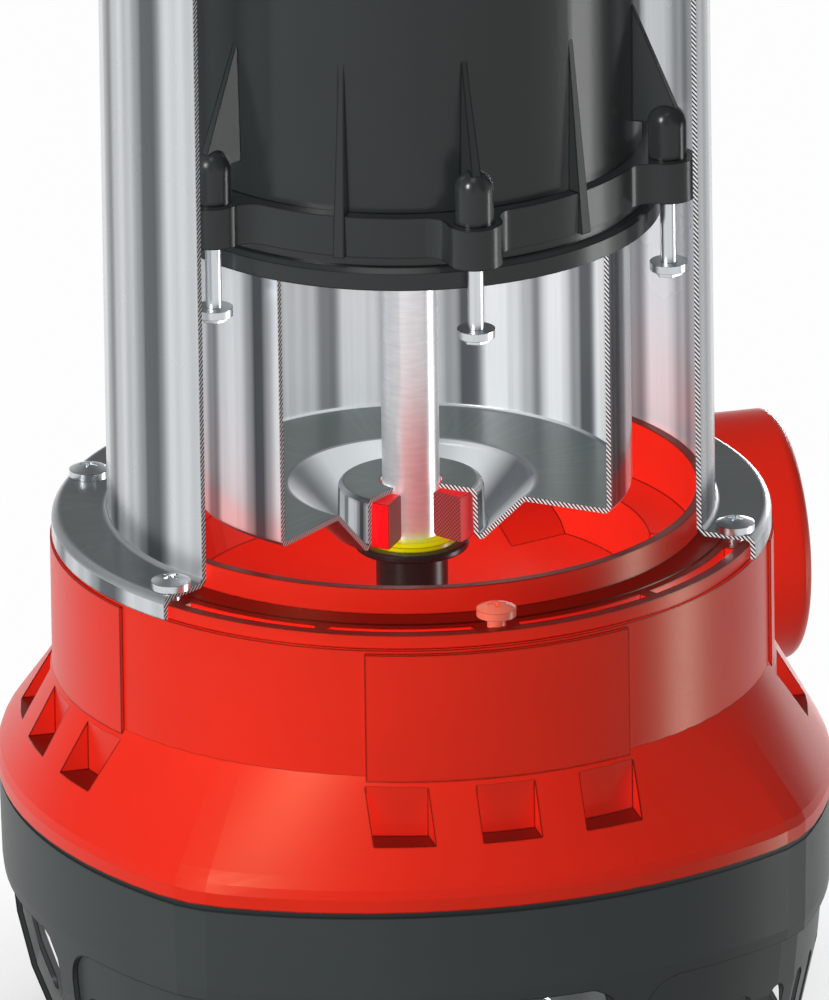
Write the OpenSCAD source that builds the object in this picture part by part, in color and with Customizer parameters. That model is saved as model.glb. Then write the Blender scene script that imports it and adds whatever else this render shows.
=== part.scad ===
// Submersible drainage pump, shown as a sectioned demonstration model.
// The motor jacket, the oil chamber and the shaft seal are cut away at the front (-Y).
// Z is the pump axis and points up, Z = 0 is the floor, and the outlet leaves along +X.

/* [Plan of the base] */
// Radius at the middle of each of the four sides
side_r = 107.7; // [106:0.1:111]
// Radius of the arc that each side follows
side_curve_r = 144; // [135:1:170]
// Radius that the four corners are rounded back to
corner_r = 115.2; // [114:0.1:116]

/* [Strainer base] */
// Height of the strainer base
base_h = 82.3; // [76:0.1:90]
// Wall of the strainer base
base_wall = 3.2; // [2.4:0.1:4]
// Step of the base inside the lip of the pump housing
base_step = 0.4; // [0.2:0.1:1]
// How far the wall draws in from the top to the floor
base_taper = 17.5; // [12:0.5:20]
// Thickness of the floor
base_floor_t = 4; // [3:0.5:6]
// Height of the four intake windows
window_h = 45; // [36:1:48]
// Angle that each intake window covers
window_angle = 30; // [24:1:34]
// Angle from the front to the middle of the first intake window
window_turn = -2; // [-4:1:2]
// Depth of the recessed panels between the pillars
recess_depth = 1.6; // [1:0.1:2]
// Angle from the front to the first pillar
pillar_turn = 17; // [15:1:19]
// Angle that each pillar covers
pillar_angle = 4; // [3:0.5:6]
// Height of the recessed panels above the floor
recess_top = 57; // [54:0.5:60]
// Width of the slots of the strainer
slot_w = 6; // [4:0.5:7]
// Height of the slots of the strainer
slot_h = 30; // [20:1:32]

/* [Pump housing] */
// Thickness of the gasket between base and pump housing
gasket_t = 1.4; // [1:0.1:2]
// Height of the upright lip under the cone
lip_h = 5; // [3.5:0.1:6]
// Height of the cone
cone_h = 26.8; // [24:0.1:30]
// Height of the ring wall from the cone up to the ledge
ring_h = 34.5; // [34:0.1:38]
// Outer radius of the ring wall
ring_r = 93.1; // [92.5:0.1:94]
// How far the four raised panels stand proud of the ring wall
panel_proud = 0.9; // [0.5:0.1:1.4]
// Half the angle that each raised panel covers
panel_half = 22; // [18:1:25]
// Height of the rim above the ledge
rim_h = 3.8; // [3:0.1:4.5]
// Width of the ledge that carries the skirt of the jacket
ledge_w = 1.1; // [0.9:0.05:1.5]
// Height of the collar above the rim
collar_h = 7.1; // [5:0.1:9]
// Wall of the collar
collar_t = 2.4; // [2:0.1:3]
// Wall of the pump housing
housing_wall = 3.5; // [3:0.1:4.2]
// Width of the pockets in the rim
pocket_w = 3; // [2:0.1:3.4]
// Depth of the pockets in the rim
pocket_depth = 8; // [4:0.5:9]
// Width of each notch in the cone
notch_w = 15.5; // [12:0.1:18]
// Distance between neighbouring notches
notch_pitch = 27.9; // [24:0.1:29]
// How far the upright back of a notch lies outside the ring wall
notch_back = 1.4; // [1.2:0.1:2.5]
// Height of the floor of a notch below the top of the cone
notch_drop = 16; // [12:0.1:18]

/* [Volute] */
// Radius of the impeller chamber
chamber_r = 59; // [57:0.5:60]
// Outer radius of the volute where it starts
volute_r_start = 66; // [64:0.5:70]
// Outer radius of the volute at the outlet
volute_r_end = 88; // [86:0.5:89]
// Height of the bowl floor at the shaft, above the seam
bowl_floor_lift = 41.3; // [40:0.1:43]
// Rise of the bowl floor from the shaft to the edge of the impeller chamber
bowl_rise = 6; // [4:0.5:7]
// Rise of the volute roof from its start to the outlet
volute_rise = 13.5; // [11:0.5:14]
// Thickness of the volute roof
roof_t = 3.2; // [2.8:0.1:3.6]
// Angle from the front to the tongue of the volute
tongue_angle = 78; // [75:1:80]

/* [Outlet] */
// Outer radius of the outlet stub
outlet_r = 33; // [31:0.1:33]
// Radius of the threaded socket of the outlet
socket_r = 28.3; // [26:0.1:29]
// Depth of the threaded socket
socket_depth = 24; // [18:1:28]
// Radius of the passage behind the socket
passage_r = 26; // [22:0.5:26]
// Distance from the pump axis to the end of the outlet
outlet_reach = 113.9; // [112:0.1:125]
// Distance of the outlet axis behind the pump axis
outlet_offset = 54; // [52:0.5:56]

/* [Jacket] */
// Outer radius of the motor jacket
jacket_r = 79; // [78.8:0.05:79.2]
// Sheet thickness of the motor jacket
jacket_t = 1.3; // [1:0.1:1.5]
// Gap between the rim and the underside of the jacket flange
flange_gap = 1.2; // [1:0.1:1.6]
// Radius of the curl at the outer edge of the flange
curl_r = 2.6; // [2.2:0.1:3]
// Inner radius of the bend between jacket and flange
jacket_bend = 1.5; // [1.2:0.1:2]
// Height of the jacket above its flange
jacket_h = 201; // [198:1:204]
// Half the angle of the window cut in the jacket
jacket_window = 57.5; // [50:0.5:58.5]
// Radius of the circle of flange screws
flange_screw_circle = 87; // [86.5:0.1:87.5]

/* [Oil chamber] */
// Outer radius of the oil chamber
can_r = 57.5; // [56:0.1:58]
// Sheet thickness of the oil chamber
can_t = 1.3; // [1:0.1:1.5]
// Height of the chamber floor above the ledge
can_lift = 12.7; // [12:0.1:14]
// Height of the oil chamber from its floor to the motor
can_h = 75.9; // [72:0.1:80]
// Radius of the mouth of the well round the seal
well_top_r = 31; // [29:0.1:33]
// Depth of the well under the chamber floor
well_depth = 12.9; // [12:0.1:13.5]
// Outer radius of the hub that holds the seal
hub_r = 18; // [17.5:0.1:18.5]
// Half the angle of the window cut in the oil chamber
can_window = 50; // [44:0.5:54]
// Depth of the groove that takes the rim of the oil chamber
rim_groove = 1.5; // [1:0.1:2.5]

/* [Shaft and seals] */
// Radius of the shaft
shaft_r = 7.5; // [7.5:0.01:7.52]
// Radius of the shaft below the impeller
stud_r = 5; // [4:0.1:6]
// Height of the shaft seal
seal_h = 12.3; // [11.5:0.1:13]
// Half the angle of the window cut in the shaft seal
seal_window = 35; // [30:0.5:42]
// Outer radius of the yellow face ring
face_ring_r = 12; // [11:0.1:13]
// Thickness of the yellow face ring
face_ring_t = 2; // [1.5:0.1:2.6]
// Radius of the flange of the seal cup
cup_r = 14.9; // [14:0.1:16]
// Thickness of the flange of the seal cup
cup_t = 2.2; // [1.8:0.1:2.6]
// Outer radius of the sleeve of the seal cup
sleeve_r = 9.4; // [9.2:0.1:9.8]

/* [Impeller] */
// Radius of the impeller
impeller_r = 54; // [46:0.5:56]
// Number of blades
blade_count = 7; // [5:1:8]
// Height of the blades
blade_h = 18; // [14:0.5:20]
// Thickness of the blades
blade_t = 3; // [2.4:0.1:3.6]
// Thickness of the back plate
plate_t = 3; // [2.5:0.1:3.5]
// Radius of the inlet under the impeller
eye_r = 24; // [20:0.5:26]
// Length of the inlet nozzle
nozzle_h = 16; // [12:0.5:18]

/* [Motor housing] */
// Outer radius of the motor housing
motor_r = 61; // [60.9:0.1:62]
// Wall of the motor housing beside the stator
motor_wall = 4; // [3.8:0.1:4.2]
// Radius of the lower disc
disc_r = 66; // [65.5:0.1:68]
// Thickness of the lower disc
disc_t = 5.8; // [5.5:0.1:6.5]
// Height of the neck between the disc and the lobed flange
neck_h = 2.5; // [2:0.1:3.5]
// Thickness of the lobed flange
lobe_h = 11; // [9:0.1:12]
// Radius of the lobed flange between the lobes
flange_r = 64.5; // [64:0.1:65]
// Radius of the circle of lobes
lobe_circle = 70; // [69.6:0.1:70.1]
// Radius of each lobe
lobe_r = 7.2; // [6.6:0.1:7.3]
// Radius of each domed screw post
dome_r = 5; // [4.4:0.1:5.2]
// Height of the domed screw posts above the lobed flange
dome_h = 14; // [12:0.5:16]
// Height of the gussets above the lower disc
gusset_top = 60; // [50:0.5:64]
// Distance from the head of a motor screw to the lobe above it
screw_hang = 18; // [14:0.5:19]

/* [Motor] */
// Length of the stator stack
stack_h = 50; // [44:1:56]
// Radius of the bore of the stator
bore_r = 32; // [31:0.1:33]
// Air gap between rotor and stator
air_gap = 0.4; // [0.3:0.05:0.6]
// Height of each end winding
winding_h = 16; // [12:0.5:17]
// Number of slots in the stator
stator_slots = 24; // [18:6:24]

/* [Top cover and handle] */
// Height of the top cover above the jacket
cover_h = 38; // [37:0.5:42]
// Wall of the top cover
cover_wall = 3.5; // [3:0.1:4]
// Outer radius of the top cover
cover_r = 81; // [80.8:0.1:84]
// Height of the handle above the top cover
handle_h = 46; // [42:1:56]
// Distance from the pump axis to each leg of the handle
handle_leg = 54; // [50:0.5:56]
// Width of the handle
handle_w = 24; // [20:0.5:26]
// Thickness of the handle
handle_t = 13; // [11:0.5:15]
// Radius of the cable that the gland takes
cable_r = 4.5; // [3.5:0.1:5]

/* [Fits] */
// Radial clearance of a pressed or bolted fit
fit = 0.05; // [0.02:0.01:0.1]
// Radial clearance of a running fit
running = 0.05; // [0.02:0.01:0.09]
// Clearance between two pieces that lie side by side
clear = 0.3; // [0.2:0.05:0.4]

/* [Hidden] */
$fn = 96;

// Points round the plan of the base, a multiple of eight so that corners fall on points
plan_steps = 72;
// Overlap that makes a cut run clean through
cut = 1;

// Heights, from the floor up
seam_z = base_h + gasket_t;
lip_top = seam_z + lip_h;
cone_top = lip_top + cone_h;
ledge_z = cone_top + ring_h;
rim_z = ledge_z + rim_h;
collar_z = rim_z + collar_h;
flange_z = rim_z + flange_gap;
jacket_top = flange_z + jacket_h;
can_floor = ledge_z + can_lift;
motor_z = can_floor + can_h;
disc_top = motor_z + disc_t;
lobe_z = disc_top + neck_h;
lobe_top = lobe_z + lobe_h;
dome_top = lobe_top + dome_h;
gusset_z = motor_z + gusset_top;
cover_top = jacket_top + cover_h;

// Radii that follow
rim_r = ring_r - ledge_w;
notch_wall = 2.6;
jacket_in = jacket_r - jacket_t;
collar_r = jacket_in - 1.1;
bowl_r = collar_r - collar_t;
pocket_r = flange_screw_circle + 0.3;
ridge_r = collar_r + 6.2;
land_drop = 0.4;
side_off = side_curve_r - side_r;

// Screws: shank radius, head radius, height of the side and of the dome of the head
flange_screw = [2.4, 5.15, 2, 1.3];
small_screw = [2, 4, 1.8, 1];
motor_screw = [2.1, 4.9, 2.2, 0];

// Ball bearings: bore radius, outer radius, width, ball radius, number of balls
lower_bearing = [shaft_r, 17.5, 11, 3, 8];
upper_bearing = [6, 16, 10, 3, 7];
lower_bearing_z = disc_top + 1.6;

// Motor, from the lower bearing up
stack_z = lower_bearing_z + lower_bearing[2] + 4 + winding_h + 1;
stack_top = stack_z + stack_h;
shield_z = stack_top + winding_h + 4;
shield_t = jacket_top - shield_z;
housing_in = motor_r - motor_wall;
rotor_r = bore_r - air_gap;
core_shaft_r = 9;
upper_bearing_z = jacket_top - 1 - upper_bearing[2];

// Pump, from the seam up
bowl_z = seam_z + bowl_floor_lift;
chamber_edge_z = bowl_z + bowl_rise;
ramp_low = chamber_edge_z + 0.5;
outlet_z = seam_z + outlet_r + 0.1;
seal_top = can_floor - 0.1 - can_t;
cup_z = seal_top - seal_h - clear - face_ring_t - cup_t;
plate_z = bowl_z - roof_t - plate_t - 3;
hub_bottom = plate_z - blade_h;
nut_t = 5;
washer_t = 1.6;

// A direction measured from the front (-Y) towards +X, at radius r and height z
module at(angle, r = 0, z = 0) {
    rotate([0, 0, angle - 90]) translate([r, 0, z]) children();
}

// A wedge of space centred on the front
module sector(half, r, low, high) {
    rotate([0, 0, -90 - half])
        rotate_extrude(angle = 2 * half)
            translate([0, low]) square([r, high - low]);
}

// A ring with upright walls
module tube(outer, inner, low, high) {
    difference() {
        translate([0, 0, low]) cylinder(r = outer, h = high - low);
        translate([0, 0, low - cut]) cylinder(r = inner, h = high - low + 2 * cut);
    }
}

// Radius of the plan of the base in the direction a
function folded(a) = (a + 45) % 90 - 45;
function side_reach(t) = sqrt(pow(side_curve_r, 2) - pow(side_off * sin(t), 2)) - side_off * cos(t);
function plan_r(a) = min(corner_r, side_reach(folded(a)));

// One ring of points whose radius blends from the ring wall (0) to the plan of the base (1)
function plan_ring(z, blend, grow) = [
    for (i = [0 : plan_steps - 1])
        let (a = 360 * i / plan_steps, r = ring_r + (plan_r(a) - ring_r) * blend + grow)
            [r * cos(a), r * sin(a), z]
];

// A closed skin over a stack of rings that have the same number of points
module skin(rings) {
    n = len(rings[0]);
    last = (len(rings) - 1) * n;
    sides = [
        for (k = [0 : len(rings) - 2]) for (i = [0 : n - 1])
            [k * n + i, (k + 1) * n + i, (k + 1) * n + (i + 1) % n, k * n + (i + 1) % n]
    ];
    floor_face = [[for (i = [0 : n - 1]) i]];
    roof_face = [[for (i = [n - 1 : -1 : 0]) last + i]];
    polyhedron(points = [for (ring = rings) each ring], faces = concat(floor_face, roof_face, sides));
}

// The plan of the base as four arcs, drawn in by inset
module plan_2d(inset) {
    intersection_for (turn = [0 : 90 : 270])
        rotate(turn) translate([-side_off, 0]) circle(r = side_curve_r - inset, $fn = 180);
}

// Points along an arc in the r-z plane
function arc(centre, r, from, to, steps) = [
    for (i = [0 : steps])
        let (a = from + (to - from) * i / steps) centre + r * [cos(a), sin(a)]
];

// The outline of a sheet of thickness t whose middle follows a path in the r-z plane
function unit(v) = v / norm(v);
function left_of(v) = [-v[1], v[0]];
function heading(path, i) = unit(path[i + 1] - path[i]);
function sheet_normal(path, i) =
    let (
        before = left_of(heading(path, max(i - 1, 0))),
        after = left_of(heading(path, min(i, len(path) - 2))),
        middle = unit(before + after)
    ) middle / (middle * before);
function sheet(path, t) = concat(
    [for (i = [0 : len(path) - 1]) path[i] + sheet_normal(path, i) * t / 2],
    [for (i = [len(path) - 1 : -1 : 0]) path[i] - sheet_normal(path, i) * t / 2]
);

// A pan-head screw that points down, with its seat at z = 0 and a cross recess
module pan_screw(size, length) {
    shank = size[0];
    head = size[1];
    side = size[2];
    dome = size[3];
    dome_sphere = (head * head + dome * dome) / (2 * dome);
    translate([0, 0, -length]) cylinder(r = shank, h = length + side / 2, $fn = 32);
    difference() {
        union() {
            cylinder(r = head, h = side, $fn = 48);
            intersection() {
                translate([0, 0, side - cut]) cylinder(r = head, h = dome + 2 * cut, $fn = 48);
                translate([0, 0, side + dome - dome_sphere]) sphere(r = dome_sphere, $fn = 64);
            }
        }
        for (turn = [0, 90])
            rotate([0, 0, turn])
                translate([-head * 0.45, -head * 0.1, side + dome - 1.3])
                    cube([head * 0.9, head * 0.2, 3]);
    }
}

// Angles of the four corners of the base, measured from the front
corner_turns = [45, 135, 225, 315];
corner_screw_circle = corner_r - 10.7;
corner_boss_r = 5.5;
cover_plate_r = min(side_r, corner_r - 7.5) - 9.3;
cover_screw_circle = cover_plate_r - 5;
cover_screw_turns = [for (k = [0 : 5]) 13 + 60 * k];
cover_plate_t = 3.5;

// Inset of the outer wall of the base at the height z
function base_inset(z) = base_step + base_taper * pow(1 - z / base_h, 2.8);

// A solid with the plan of the base whose wall follows the taper, drawn in by extra
module base_solid(extra, low, high) {
    middle = [for (part = [0.15, 0.32, 0.51, 0.73]) base_h * part];
    levels = concat([low], [for (z = middle) if (z > low + 2 && z < high - 2) z], [high]);
    insets = [for (z = levels) base_inset(min(z, base_h)) + extra];
    last = len(levels) - 1;
    intersection() {
        intersection_for (turn = [0 : 90 : 270])
            rotate([0, 0, turn]) translate([-side_off, 0, 0]) rotate_extrude($fn = 180)
                polygon(concat(
                    [[0, low]], [for (i = [0 : last]) [side_curve_r - insets[i], levels[i]]], [[0, high]]
                ));
        rotate_extrude($fn = 180) polygon(concat(
            [[0, low]], [for (i = [0 : last]) [corner_r - insets[i], levels[i]]], [[0, high]]
        ));
    }
}

// A window shape with round corners, pushed out along the direction it faces
module upright_window(width, low, high, corner, from, to) {
    half = width / 2 - corner;
    translate([from, 0, 0]) rotate([90, 0, 90]) linear_extrude(to - from) {
        translate([-half, low]) square([2 * half, high - low]);
        translate([-width / 2, low + corner]) square([width, high - low - 2 * corner]);
        for (side = [-1, 1]) for (level = [low + corner, high - corner])
            translate([side * half, level]) circle(r = corner, $fn = 32);
    }
}

// The space of one recessed panel between two pillars, with round upper corners
module recess_space() {
    corner = 9;
    low = base_floor_t + 3;
    span = 90 - pillar_angle;
    corner_angle = corner / side_r * 180 / PI;
    outer = corner_r + 6;
    rotate([0, 0, -span / 2]) rotate_extrude(angle = span)
        translate([side_r - 30, low]) square([outer - side_r + 30, recess_top - corner - low]);
    rotate([0, 0, corner_angle - span / 2]) rotate_extrude(angle = span - 2 * corner_angle)
        translate([side_r - 30, low]) square([outer - side_r + 30, recess_top - low]);
    for (side = [-1, 1])
        rotate([0, 0, side * (span / 2 - corner_angle)])
            translate([side_r - 30, 0, recess_top - corner])
                rotate([0, 90, 0]) cylinder(r = corner * 0.97, h = outer - side_r + 30, $fn = 48);
}

foot_z = 2;
plate_ledge_r = side_r - base_taper - 8.2;
pad_r = plate_ledge_r - 4;
plate_screw_circle = plate_ledge_r - 20;
plate_screw_turns = [30 : 60 : 330];
plate_lip_r = 31;
window_from = side_r - 32;

// Hollow of the base, which leaves a screw column in each corner
module base_hollow() {
    column_low = recess_top + 3;
    difference() {
        base_solid(base_wall, base_floor_t, base_h + cut);
        for (turn = corner_turns) at(turn, corner_screw_circle, column_low) {
            cylinder(r = corner_boss_r, h = base_h - recess_top, $fn = 48);
            translate([0, -corner_boss_r, 0]) cube([12, 2 * corner_boss_r, base_h - recess_top]);
        }
    }
}

module strainer_base() {
    window_w = 2 * side_r * sin(window_angle / 2);
    window_low = recess_top - window_h;
    slot_low = window_low + 2;
    color("dimgray") difference() {
        union() {
            difference() {
                union() {
                    base_solid(recess_depth, 0, base_h);
                    // Pillars, the rim above and the edge below stand proud of the recessed panels
                    difference() {
                        base_solid(0, 0, base_h);
                        for (k = [0 : 3]) at(pillar_turn + 45 + 90 * k) recess_space();
                    }
                }
                base_hollow();
            }
            // Ring round the steel base plate and the pads that carry it
            tube(plate_ledge_r + 4, plate_ledge_r, base_floor_t - cut, base_floor_t + 2.5);
            for (turn = plate_screw_turns)
                at(turn, plate_screw_circle, 2) cylinder(r = 5, h = base_floor_t + 1.5 - 2, $fn = 48);
        }
        // Intake windows near the middle of each side
        for (k = [0 : 3])
            at(window_turn + 90 * k)
                upright_window(window_w, window_low, recess_top - 0.01, 5, window_from, corner_r + 6);
        // Slots of the strainer round each corner
        for (k = [0 : 3]) for (i = [-3 : 3])
            at(45 + 90 * k + window_turn + i * 6.6)
                upright_window(slot_w, slot_low, slot_low + slot_h, slot_w / 2 - 0.01, window_from, corner_r + 6);
        // Screw holes of the corner columns, and the way in for the driver from below
        for (turn = corner_turns) {
            at(turn, corner_screw_circle, recess_top) cylinder(r = small_screw[0] + 0.4, h = base_h, $fn = 32);
            at(turn, corner_screw_circle, -cut) cylinder(r = small_screw[1] + 0.8, h = recess_top - 1, $fn = 48);
        }
        // Hollow underside that leaves a foot ring, a centre pad and six pads
        difference() {
            translate([0, 0, -cut]) cylinder(r = pad_r, h = foot_z + cut);
            translate([0, 0, -2 * cut]) cylinder(r = 18, h = foot_z + 4 * cut);
            for (turn = [0 : 60 : 300])
                at(turn, 16, -2 * cut) translate([0, -2, 0]) cube([pad_r - 14, 4, foot_z + 4 * cut]);
        }
        // Pilot holes for the screws of the base plate
        for (turn = plate_screw_turns)
            at(turn, plate_screw_circle, foot_z + 0.6) cylinder(r = small_screw[0] + fit, h = base_floor_t, $fn = 32);
    }
}

base_plate_z = base_floor_t + 1.5;
base_plate_t = 1.2;

// Steel plate on the floor of the strainer, with a rolled lip round its middle
module base_plate() {
    r = plate_ledge_r - clear;
    mid = base_plate_z + base_plate_t / 2;
    path = concat(
        [[r, mid]],
        arc([plate_lip_r + 9, mid + 3], 3, -90, -150, 5),
        arc([plate_lip_r + 2.2, mid + 5.2], 3, 30, 90, 5),
        arc([plate_lip_r, mid + 5.2], 3, 90, 180, 6),
        [[plate_lip_r - 3, mid + 1]]
    );
    color("lightgray") difference() {
        rotate_extrude() polygon(sheet(path, base_plate_t));
        for (turn = plate_screw_turns)
            at(turn, plate_screw_circle, 0) cylinder(r = small_screw[0] + 0.3, h = 20, $fn = 32);
    }
}

module base_plate_screws() {
    color("silver") for (turn = plate_screw_turns)
        at(turn, plate_screw_circle, base_plate_z + base_plate_t) pan_screw(small_screw, 4);
}

module base_gasket() {
    width = 5;
    color("black") translate([0, 0, base_h]) difference() {
        linear_extrude(gasket_t) difference() {
            intersection() {
                plan_2d(0.8);
                circle(r = corner_r - 0.8, $fn = 180);
            }
            circle(r = cover_plate_r + clear);
        }
        for (turn = corner_turns) at(turn, corner_screw_circle, -cut)
            cylinder(r = small_screw[0] + 0.4, h = width, $fn = 32);
    }
}

module base_screws() {
    color("silver") for (turn = corner_turns)
        at(turn, corner_screw_circle, recess_top + 3) rotate([180, 0, 0])
            pan_screw(small_screw, seam_z + 8 - recess_top - 3);
}

// Bottom cover of the pump, with the inlet nozzle
module suction_cover() {
    low = seam_z - cover_plate_t;
    color("dimgray") difference() {
        rotate_extrude() polygon(concat(
            [[eye_r, seam_z], [eye_r, low - nozzle_h + 3]],
            arc([eye_r + 3, low - nozzle_h + 3], 3, 180, 270, 5),
            [[eye_r + 8, low - nozzle_h], [eye_r + 8, low - nozzle_h + 2.5]],
            [[eye_r + 3.5, low - nozzle_h + 5]],
            arc([eye_r + 8.5, low - 5], 5, 180, 90, 6),
            [[cover_plate_r, low], [cover_plate_r, seam_z]]
        ));
        for (turn = cover_screw_turns)
            at(turn, cover_screw_circle, low - cut) cylinder(r = small_screw[0] + 0.3, h = 9, $fn = 32);
    }
}

module suction_cover_screws() {
    color("silver") for (turn = cover_screw_turns)
        at(turn, cover_screw_circle, seam_z - cover_plate_t) rotate([180, 0, 0])
            pan_screw(small_screw, 12);
}

// The volute runs clockwise, seen from above, from the tongue round to the outlet
volute_travel = 308;
function progress(angle) = min(1, ((tongue_angle - angle + 720) % 360) / volute_travel);
function front_angle(a) = (a + 90) % 360;
function volute_r(a) = volute_r_start + (volute_r_end - volute_r_start) * progress(front_angle(a));
function ramp_z(a) = ramp_low + volute_rise * progress(front_angle(a));
function turned_ring(radii, heights) = [
    for (i = [0 : plan_steps - 1])
        let (a = 360 * i / plan_steps) [radii[i] * cos(a), radii[i] * sin(a), heights[i]]
];
function level(value) = [for (i = [0 : plan_steps - 1]) value];
volute_radii = [for (i = [0 : plan_steps - 1]) volute_r(360 * i / plan_steps)];
ramp_heights = [for (i = [0 : plan_steps - 1]) ramp_z(360 * i / plan_steps)];
shaft_hole_r = sleeve_r + 1.2;

// The space over the volute roof, inside the collar
module bowl_space() {
    beyond = bowl_r + 8;
    intersection() {
        skin([
            turned_ring(level(shaft_hole_r + 3), level(bowl_z)),
            turned_ring(level(chamber_r), level(chamber_edge_z)),
            turned_ring(level(chamber_r + 3), ramp_heights),
            turned_ring(level(beyond), ramp_heights),
            turned_ring(level(beyond), level(collar_z + 2 * cut))
        ]);
        translate([0, 0, bowl_z - cut]) cylinder(r = bowl_r, h = collar_z + 2 * cut - bowl_z);
    }
    translate([0, 0, bowl_z - 10]) cylinder(r = shaft_hole_r, h = 20);
}

// The water space: impeller chamber and volute
module water_space() {
    under = [for (z = ramp_heights) z - roof_t];
    skin([
        turned_ring(volute_radii, level(seam_z - cut)),
        turned_ring(volute_radii, under),
        turned_ring(level(chamber_r + 3), under),
        turned_ring(level(chamber_r), level(chamber_edge_z - roof_t)),
        turned_ring(level(shaft_hole_r + 3), level(bowl_z - roof_t))
    ]);
}

// The outlet stub with a rounded end
module outlet_stub(from) {
    round_r = 3.5;
    translate([0, outlet_offset, outlet_z]) rotate([0, 90, 0]) rotate_extrude()
        polygon(concat(
            [[0, from], [outlet_r, from]],
            arc([outlet_r - round_r, outlet_reach - round_r], round_r, 0, 90, 8),
            [[0, outlet_reach]]
        ));
}

// The three notches in each side of the cone, with an upright back and a level floor.
// They run along the direction of their side, and grow makes room for a wall round them.
module notches(grow) {
    low = cone_top - notch_drop - grow;
    high = cone_top - 0.8;
    difference() {
        for (k = [0 : 3]) rotate([0, 0, 90 * k])
            for (i = [-1 : 1])
                translate([notch_pitch * i - notch_w / 2 - grow, -corner_r - 6, low])
                    cube([notch_w + 2 * grow, corner_r + 6, high - low]);
        translate([0, 0, low - cut]) cylinder(r = ring_r + notch_back - grow, h = high - low + 2 * cut);
        outlet_stub(30);
    }
}

// Screw posts and volute wall that stand in the hollow under the cone
module under_cone() {
    difference() {
        skin([
            plan_ring(seam_z - cut, 1, -housing_wall),
            plan_ring(lip_top, 1, -housing_wall),
            plan_ring(cone_top - 3, 0.12, -housing_wall)
        ]);
        skin([
            turned_ring([for (r = volute_radii) r + housing_wall], level(seam_z - 2 * cut)),
            turned_ring([for (r = volute_radii) r + housing_wall], level(cone_top))
        ]);
        for (turn = cover_screw_turns) at(turn, cover_screw_circle, seam_z - 2 * cut)
            cylinder(r = 4.6, h = 40, $fn = 48);
        for (turn = corner_turns) at(turn, corner_screw_circle, seam_z - 2 * cut)
            cylinder(r = corner_boss_r, h = 14, $fn = 48);
        outlet_stub(30);
        notches(notch_wall);
    }
}

// Pockets in the rim, two between each pair of flange screws
module rim_pockets() {
    rib = 2.2;
    boss = 8;
    for (k = [0 : 5]) for (half = [0, 1])
        at(60 * k + (half == 0 ? boss / 2 : 30 + rib / 2))
            translate([0, 0, rim_z - pocket_depth])
                rotate_extrude(angle = 30 - boss / 2 - rib / 2)
                    translate([pocket_r - pocket_w / 2, 0]) square([pocket_w, pocket_depth + cut]);
}

module pump_housing() {
    color("red") difference() {
        union() {
            skin([
                plan_ring(seam_z, 1, 0),
                plan_ring(lip_top - 1.4, 1, 0),
                plan_ring(lip_top + 1, 0.955, 0),
                plan_ring(lip_top + 4, 1 - 4 / cone_h, 0),
                for (part = [0.35, 0.6, 0.8, 1.06]) plan_ring(lip_top + cone_h * part, 1 - part, 0)
            ]);
            translate([0, 0, seam_z]) cylinder(r = ring_r, h = ledge_z - seam_z);
            for (k = [0 : 3])
                rotate([0, 0, 90 * k]) sector(panel_half, ring_r + panel_proud, cone_top - 1.2, ledge_z - 1);
            translate([0, 0, ledge_z - cut]) cylinder(r = rim_r, h = rim_h + cut);
            translate([0, 0, rim_z - cut]) cylinder(r = collar_r, h = collar_h + cut);
            outlet_stub(30);
        }
        // Step that leaves the sealing ridge and the rim proud of the land
        tube(pocket_r + pocket_w / 2 + 0.4, ridge_r + 0.8, rim_z - land_drop, rim_z + cut);
        rim_pockets();
        notches(0);
        for (k = [0 : 5]) at(60 * k, flange_screw_circle, rim_z - 10)
            cylinder(r = flange_screw[0] + fit, h = 20, $fn = 32);
        bowl_space();
        water_space();
        under_cone();
        for (turn = cover_screw_turns) at(turn, cover_screw_circle, seam_z - cut)
            cylinder(r = small_screw[0] + fit, h = 10, $fn = 32);
        for (turn = corner_turns) at(turn, corner_screw_circle, seam_z - cut)
            cylinder(r = small_screw[0] + fit, h = 10.5, $fn = 32);
        // Passage and threaded socket of the outlet
        translate([35, outlet_offset, outlet_z]) rotate([0, 90, 0])
            cylinder(r = passage_r, h = outlet_reach - 35);
        translate([outlet_reach - socket_depth, outlet_offset, outlet_z]) rotate([0, 90, 0])
            cylinder(r = socket_r, h = socket_depth + cut);
    }
}

// One blade, bent backwards, as a strip between two arcs
module blade() {
    bend = impeller_r * 0.62;
    turn = 115;
    translate([bend, 0, 0]) rotate([0, 0, 180]) rotate_extrude(angle = turn)
        translate([bend - blade_t / 2, 0]) square([blade_t, blade_h]);
}

module impeller() {
    hub = 12;
    color("slategray") difference() {
        union() {
            translate([0, 0, plate_z]) cylinder(r = impeller_r, h = plate_t);
            translate([0, 0, hub_bottom]) cylinder(r = hub, h = plate_z + plate_t + 2 - hub_bottom);
            intersection() {
                translate([0, 0, hub_bottom]) for (k = [0 : blade_count - 1])
                    rotate([0, 0, 360 * k / blade_count]) blade();
                translate([0, 0, hub_bottom]) cylinder(r = impeller_r, h = blade_h + 0.5);
            }
            // Balance ribs on the back of the plate
            for (k = [0 : blade_count - 1])
                at(360 * k / blade_count, 18, plate_z + plate_t - 0.1)
                    translate([0, -1, 0]) cube([impeller_r - 22, 2, 1.6]);
        }
        translate([0, 0, hub_bottom + 4]) cylinder(r = shaft_r + fit, h = 60);
        translate([0, 0, hub_bottom - cut]) cylinder(r = stud_r + fit, h = 60);
    }
}

module impeller_washer() {
    color("silver") tube(stud_r + 5, stud_r + fit, hub_bottom - washer_t, hub_bottom);
}

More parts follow.
